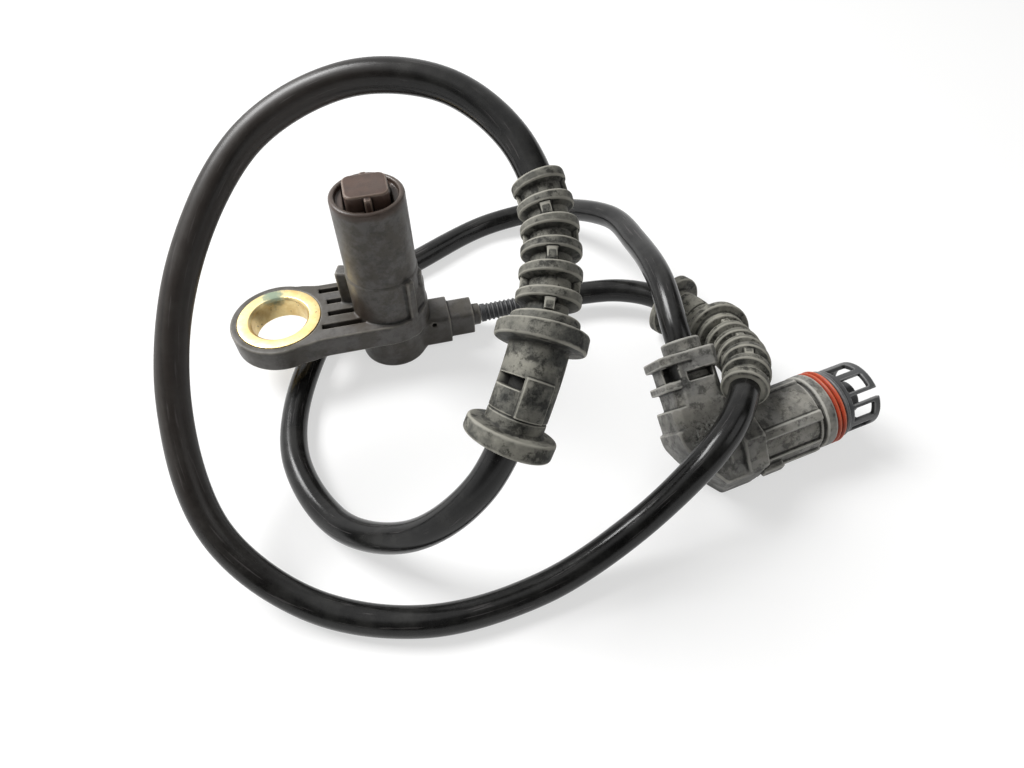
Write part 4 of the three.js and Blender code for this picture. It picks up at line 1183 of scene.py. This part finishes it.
# %% [markdown]
# ## Rubbers
# The hose is extruded and still shiny, with long fine scratches and dull, brownish
# stretches where it rubbed. Its map runs along the hose, so the scratches do too. The
# grommets are a softer, duller rubber, grey with dust, and paler on their worn edges.

# %% Hose, relief and grommet rubber
HOSE_BLACK, HOSE_PALER = (0.004, 0.004, 0.004), (0.009, 0.009, 0.009)
HOSE_BROWN, HOSE_SCUFF, HOSE_DUST = (0.034, 0.027, 0.023), (0.11, 0.1, 0.1), (0.13, 0.128, 0.118)


def hose_rubber():
    """Black and shiny, dulled by patches, by streaks along the hose and by dust on top."""
    material, tree, shader, place = start_material("hose_rubber")
    along = node(tree, "ShaderNodeUVMap", {"uv_map": "along"}).outputs["UV"]
    scuffs = use(tree, SCRATCH, Vector=along, Stretch=(90.0, 34.0, 1.0), Amount=0.7)["Lines"]
    streaks = noise(tree, calc_vector(tree, "MULTIPLY", along, (14.0, 9.0, 1.0)), 1.0, 5.0, 0.6)
    film = use(tree, DUST, Vector=place, Normal=normal_of(tree), Amount=0.55, Scale=130.0)["Film"]
    distance = node(tree, "ShaderNodeSeparateXYZ", Vector=along).outputs["X"]
    rubbed = times(tree, span(tree, distance, 0.20, 0.26), span(tree, distance, 0.345, 0.31))
    dull = times(tree, rubbed, span(tree, streaks, 0.25, 0.6, 0.4, 1.0))
    colour = mixed(tree, span(tree, streaks, 0.4, 0.75), HOSE_BLACK, HOSE_PALER)
    colour = mixed(tree, times(tree, dull, 0.7), colour, HOSE_BROWN)
    colour = mixed(tree, times(tree, film, 0.24), colour, HOSE_DUST)
    colour = mixed(tree, times(tree, scuffs, 0.35), colour, HOSE_SCUFF)
    tree.links.new(colour, shader.inputs["Base Color"])
    rough = plus(tree, 0.12, times(tree, dull, 0.26))
    rough = plus(tree, rough, times(tree, film, 0.14))
    rough = plus(tree, rough, times(tree, streaks, 0.12))
    tree.links.new(plus(tree, rough, times(tree, scuffs, 0.15)), shader.inputs["Roughness"])
    shader.inputs["Specular IOR Level"].default_value = 0.3
    height = plus(tree, streaks, times(tree, scuffs, -0.3))
    bumped = node(tree, "ShaderNodeBump", Strength=0.1, Distance=0.0003, Height=height)
    tree.links.new(bumped.outputs["Normal"], shader.inputs["Normal"])
    return material


HOSE = hose_rubber()
RELIEF = moulded("relief_rubber", (0.035, 0.037, 0.04), (0.05, 0.052, 0.056), (0.12, 0.12, 0.12),
                 (0.12, 0.115, 0.11), 0.4, grain=3000.0, bump=0.05, wear=0.66, film=0.35)
GROMMET = moulded("grommet_rubber", (0.034, 0.035, 0.032), (0.13, 0.127, 0.11), (0.3, 0.29, 0.25),
                  (0.3, 0.29, 0.245), 0.62, grain=2300.0, bump=0.3, wear=0.62, film=0.85,
                  blotch=0.8, specular=0.2)
# The seal's darker red for inward corners is painted shade in the valleys between its lips.
SEAL = moulded("seal_rubber", (0.36, 0.045, 0.017), (0.25, 0.032, 0.014), (0.52, 0.12, 0.055),
               (0.4, 0.16, 0.1), 0.4, grain=3000.0, bump=0.05, wear=0.8, film=0.25,
               blotch_and_shade=(0.09, 0.02, 0.01))

# %% [markdown]
# ## Plug plastics
# The plug's housing has a coarse moulded grain and has gone pale at its edges. One patch on
# the elbow is chewed: pitted, with black specks and pale scuffs. The nose is a smoother,
# darker plastic.

# %% Plug plastics
WORN_PATCH = tuple((PLUG_TURN @ np.array([-1.8, 2.5, 5.9]) + BEND) * MM)


def plug_marks(tree, place, colour, roughness, height):
    """Pits, pale specks and a dark stain that fade out with the distance from the worn patch,
    and painted shade that thickens towards the table."""
    z = height_of(tree, place)
    # Painted shade: darker towards the table, on the plug's lower parts.
    low = plus(tree, z, times(tree, noise(tree, place, 350.0), 0.004))
    colour = mixed(tree, span(tree, low, 0.0075, 0.0035, 0.0, 0.85), colour, (0.014, 0.013, 0.01))
    away = calc_vector(tree, "DISTANCE", place, WORN_PATCH, "Value")
    colour = mixed(tree, span(tree, away, 0.0105, 0.003, 0.0, 0.65), colour, (0.03, 0.03, 0.027))
    patch = span(tree, away, 0.0062, 0.0025)
    rough_noise = noise(tree, place, 1500.0, 5.0, 0.75)
    pits = times(tree, span(tree, rough_noise, 0.54, 0.6), patch)
    pale = times(tree, span(tree, rough_noise, 0.46, 0.4), patch)
    colour = mixed(tree, pits, colour, (0.012, 0.012, 0.012))
    colour = mixed(tree, times(tree, pale, 0.6), colour, (0.3, 0.3, 0.29))
    return colour, roughness, calc(tree, "SUBTRACT", height, times(tree, pits, 1.5))


PLUG = moulded("plug_plastic", (0.2, 0.198, 0.188), (0.085, 0.084, 0.078), (0.4, 0.39, 0.355),
               (0.36, 0.345, 0.3), 0.52, grain=2000.0, bump=0.35, wear=0.59, film=0.85,
               blotch=0.6, extra=plug_marks, specular=0.25)
INSERT = moulded("insert_plastic", (0.045, 0.046, 0.048), (0.058, 0.06, 0.062), (0.15, 0.15, 0.15),
                 (0.12, 0.115, 0.105), 0.36, grain=2600.0, bump=0.08, wear=0.64, film=0.3)

# %% [markdown]
# ## Inner parts
# What the moulding hides keeps its CAD shape: the chip, its magnet, the leads, the wires and
# the contacts. Each still gets the finish that it would have on the bench.

# %% Finishes of the inner parts
def plain_metal(name, colour, rough):
    """Metal with a slight tarnish."""
    material, tree, shader, place = start_material(name)
    tarnish = noise(tree, place, 500.0, 5.0, 0.6)
    tree.links.new(mixed(tree, span(tree, tarnish, 0.4, 0.75), colour,
                         tuple(0.6 * c for c in colour)), shader.inputs["Base Color"])
    tree.links.new(plus(tree, rough, times(tree, tarnish, 0.2)), shader.inputs["Roughness"])
    shader.inputs["Metallic"].default_value = 1.0
    return material


def plain_coat(name, colour, rough):
    """Resin or wire insulation with a slight drift of colour."""
    material, tree, shader, place = start_material(name)
    drift = noise(tree, place, 400.0, 4.0, 0.6)
    tree.links.new(mixed(tree, drift, colour, tuple(0.7 * c for c in colour)),
                   shader.inputs["Base Color"])
    tree.links.new(plus(tree, rough, times(tree, drift, 0.15)), shader.inputs["Roughness"])
    return material


INNER = {
    "sensor_chip": plain_coat("chip_resin", (0.01, 0.01, 0.01), 0.4),
    "bias_magnet": plain_metal("magnet_metal", (0.4, 0.4, 0.41), 0.3),
}
LEAD = plain_metal("lead_metal", (0.62, 0.6, 0.56), 0.25)
BROWN_WIRE = plain_coat("wire_brown", (0.12, 0.045, 0.022), 0.35)
BLACK_WIRE = plain_coat("wire_black", (0.012, 0.012, 0.012), 0.35)
for number, wire in ((1, BROWN_WIRE), (2, BLACK_WIRE)):
    INNER[f"chip_lead_{number}"] = LEAD
    INNER[f"contact_{number}"] = LEAD
    INNER[f"head_wire_{number}"] = wire
    INNER[f"connector_wire_{number}"] = wire
for name, material in INNER.items():
    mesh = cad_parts[name].data
    mesh.materials.clear()
    mesh.materials.append(material)
print("inner parts finished:", len(INNER))

# %% [markdown]
# ## Every piece on its body
# The part has no joints, so it has one body, and every piece rides on it. Each new piece
# says which CAD node it stands for and which slot of the record its finish comes from.

# %% Ride, replace and finish
STANDS_FOR = [
    (sensor_head, "sensor_housing", "head_plastic", HEAD),
    (brass_bush, "mounting_bush", "brass", BRASS),
    (chip_cover, "chip_carrier", "tip_plastic", TIP),
    (ribbed_relief, "outlet_strain_relief", "relief_rubber", RELIEF),
    (cable, "cable_hose", "hose_rubber", HOSE),
    (grommet_1, "bracket_grommet_1", "grommet_rubber", GROMMET),
    (grommet_2, "bracket_grommet_2", "grommet_rubber", GROMMET),
    (plug_housing, "connector_housing", "connector_plastic", PLUG),
    (contact_nose, "plug_insert", "insert_plastic", INSERT),
    (red_seal, "seal_ring", "seal_rubber", SEAL),
]
for piece, cad_node, slot, material in STANDS_FOR:
    piece.data.materials.append(material)
    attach(piece, "root")
    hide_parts(cad_node)

# %% [markdown]
# ## Table and light
# The photograph was taken on white, in soft light from above and behind on the left. The
# table keeps its soft shadows, and both the table and the world show white to the camera
# without adding light to the part. Reflections see that white too, under a dark ceiling, so
# that the black hose keeps its dark top and its bright streaks.

# %% Table, world and lamps
FLOOR_SIZE = 3.0
FLOOR_GLOW = 0.6
WORLD_LIGHT = 0.2
WINDOW_WAY = (-0.45, 0.75, 0.48)
ROOM_DARK = 0.03
PART_MIDDLE = (0.02, -0.02, 0.02)
WHITE = (1.0, 1.0, 1.0, 1.0)


def seen_or_mirrored(tree):
    """1 for rays from the camera and for reflections, 0 for the light that reaches the part."""
    path = tree.nodes.new("ShaderNodeLightPath").outputs
    seen = calc(tree, "MAXIMUM", path["Is Camera Ray"], path["Is Glossy Ray"])
    return calc(tree, "MAXIMUM", seen, path["Is Transmission Ray"])


def table():
    """A flat grid whose surface shows as white paper: part its own light, part the lamps'."""
    edge = FLOOR_SIZE / 2
    mesh = bpy.data.meshes.new("table")
    corners = [(-edge, -edge, 0), (edge, -edge, 0), (edge, edge, 0), (-edge, edge, 0)]
    mesh.from_pydata(corners, [], [(0, 1, 2, 3)])
    floor = bpy.data.objects.new("table", mesh)
    bpy.context.collection.objects.link(floor)
    material = bpy.data.materials.new("white_paper")
    material.use_nodes = True
    tree = material.node_tree
    tree.nodes.clear()
    place = tree.nodes.new("ShaderNodeTexCoord").outputs["Object"]
    tint = mixed(tree, noise(tree, place, 8.0), (0.90, 0.90, 0.895), (0.92, 0.92, 0.92))
    paper = node(tree, "ShaderNodeBsdfDiffuse", Color=tint)
    glow = node(tree, "ShaderNodeEmission", Color=(1.0, 1.0, 0.995, 1.0), Strength=1.0)
    bright = node(tree, "ShaderNodeMixShader", Fac=FLOOR_GLOW, i1=paper.outputs[0],
                  i2=glow.outputs[0])
    both = node(tree, "ShaderNodeMixShader", Fac=seen_or_mirrored(tree), i1=paper.outputs[0],
                i2=bright.outputs[0])
    output = tree.nodes.new("ShaderNodeOutputMaterial")
    tree.links.new(both.outputs[0], output.inputs["Surface"])
    mesh.materials.append(material)


def sky():
    """A plain world for the part, white for the camera, and for reflections a room: white at
    the back, on the left and low down, dark overhead and behind the camera."""
    world = bpy.data.worlds.new("studio")
    bpy.context.scene.world = world
    world.use_nodes = True
    tree = world.node_tree
    tree.nodes.clear()
    soft = node(tree, "ShaderNodeBackground", Color=WHITE, Strength=WORLD_LIGHT)
    towards = tree.nodes.new("ShaderNodeTexCoord").outputs["Generated"]
    window = calc_vector(tree, "DOT_PRODUCT", towards, WINDOW_WAY, "Value")
    height = height_of(tree, towards)
    bright = calc(tree, "MAXIMUM", span(tree, window, 0.15, 0.5, ROOM_DARK, 1.0),
                  span(tree, height, 0.35, 0.1, ROOM_DARK, 1.0))
    camera = tree.nodes.new("ShaderNodeLightPath").outputs["Is Camera Ray"]
    white = node(tree, "ShaderNodeBackground", Color=WHITE,
                 Strength=calc(tree, "MAXIMUM", bright, camera))
    both = node(tree, "ShaderNodeMixShader", Fac=seen_or_mirrored(tree), i1=soft.outputs[0],
                i2=white.outputs[0])
    output = tree.nodes.new("ShaderNodeOutputWorld")
    tree.links.new(both.outputs[0], output.inputs["Surface"])


def lamp(name, at, size, power):
    """A square soft lamp that looks at the middle of the part."""
    data = bpy.data.lights.new(name, "AREA")
    data.shape = "SQUARE"
    data.size = size
    data.energy = power
    light = bpy.data.objects.new(name, data)
    light.location = at
    x, y, z = np.array(PART_MIDDLE) - np.array(at)
    light.rotation_euler = (np.arctan2(np.hypot(x, y), -z), 0.0, np.arctan2(-x, y))
    bpy.context.collection.objects.link(light)


table()
sky()
lamp("window_back_left", (-0.45, 0.30, 0.70), 0.4, 12.0)
lamp("fill_front_right", (0.55, -0.35, 0.6), 0.5, 1.0)
print("lamps:", len(bpy.data.lights))
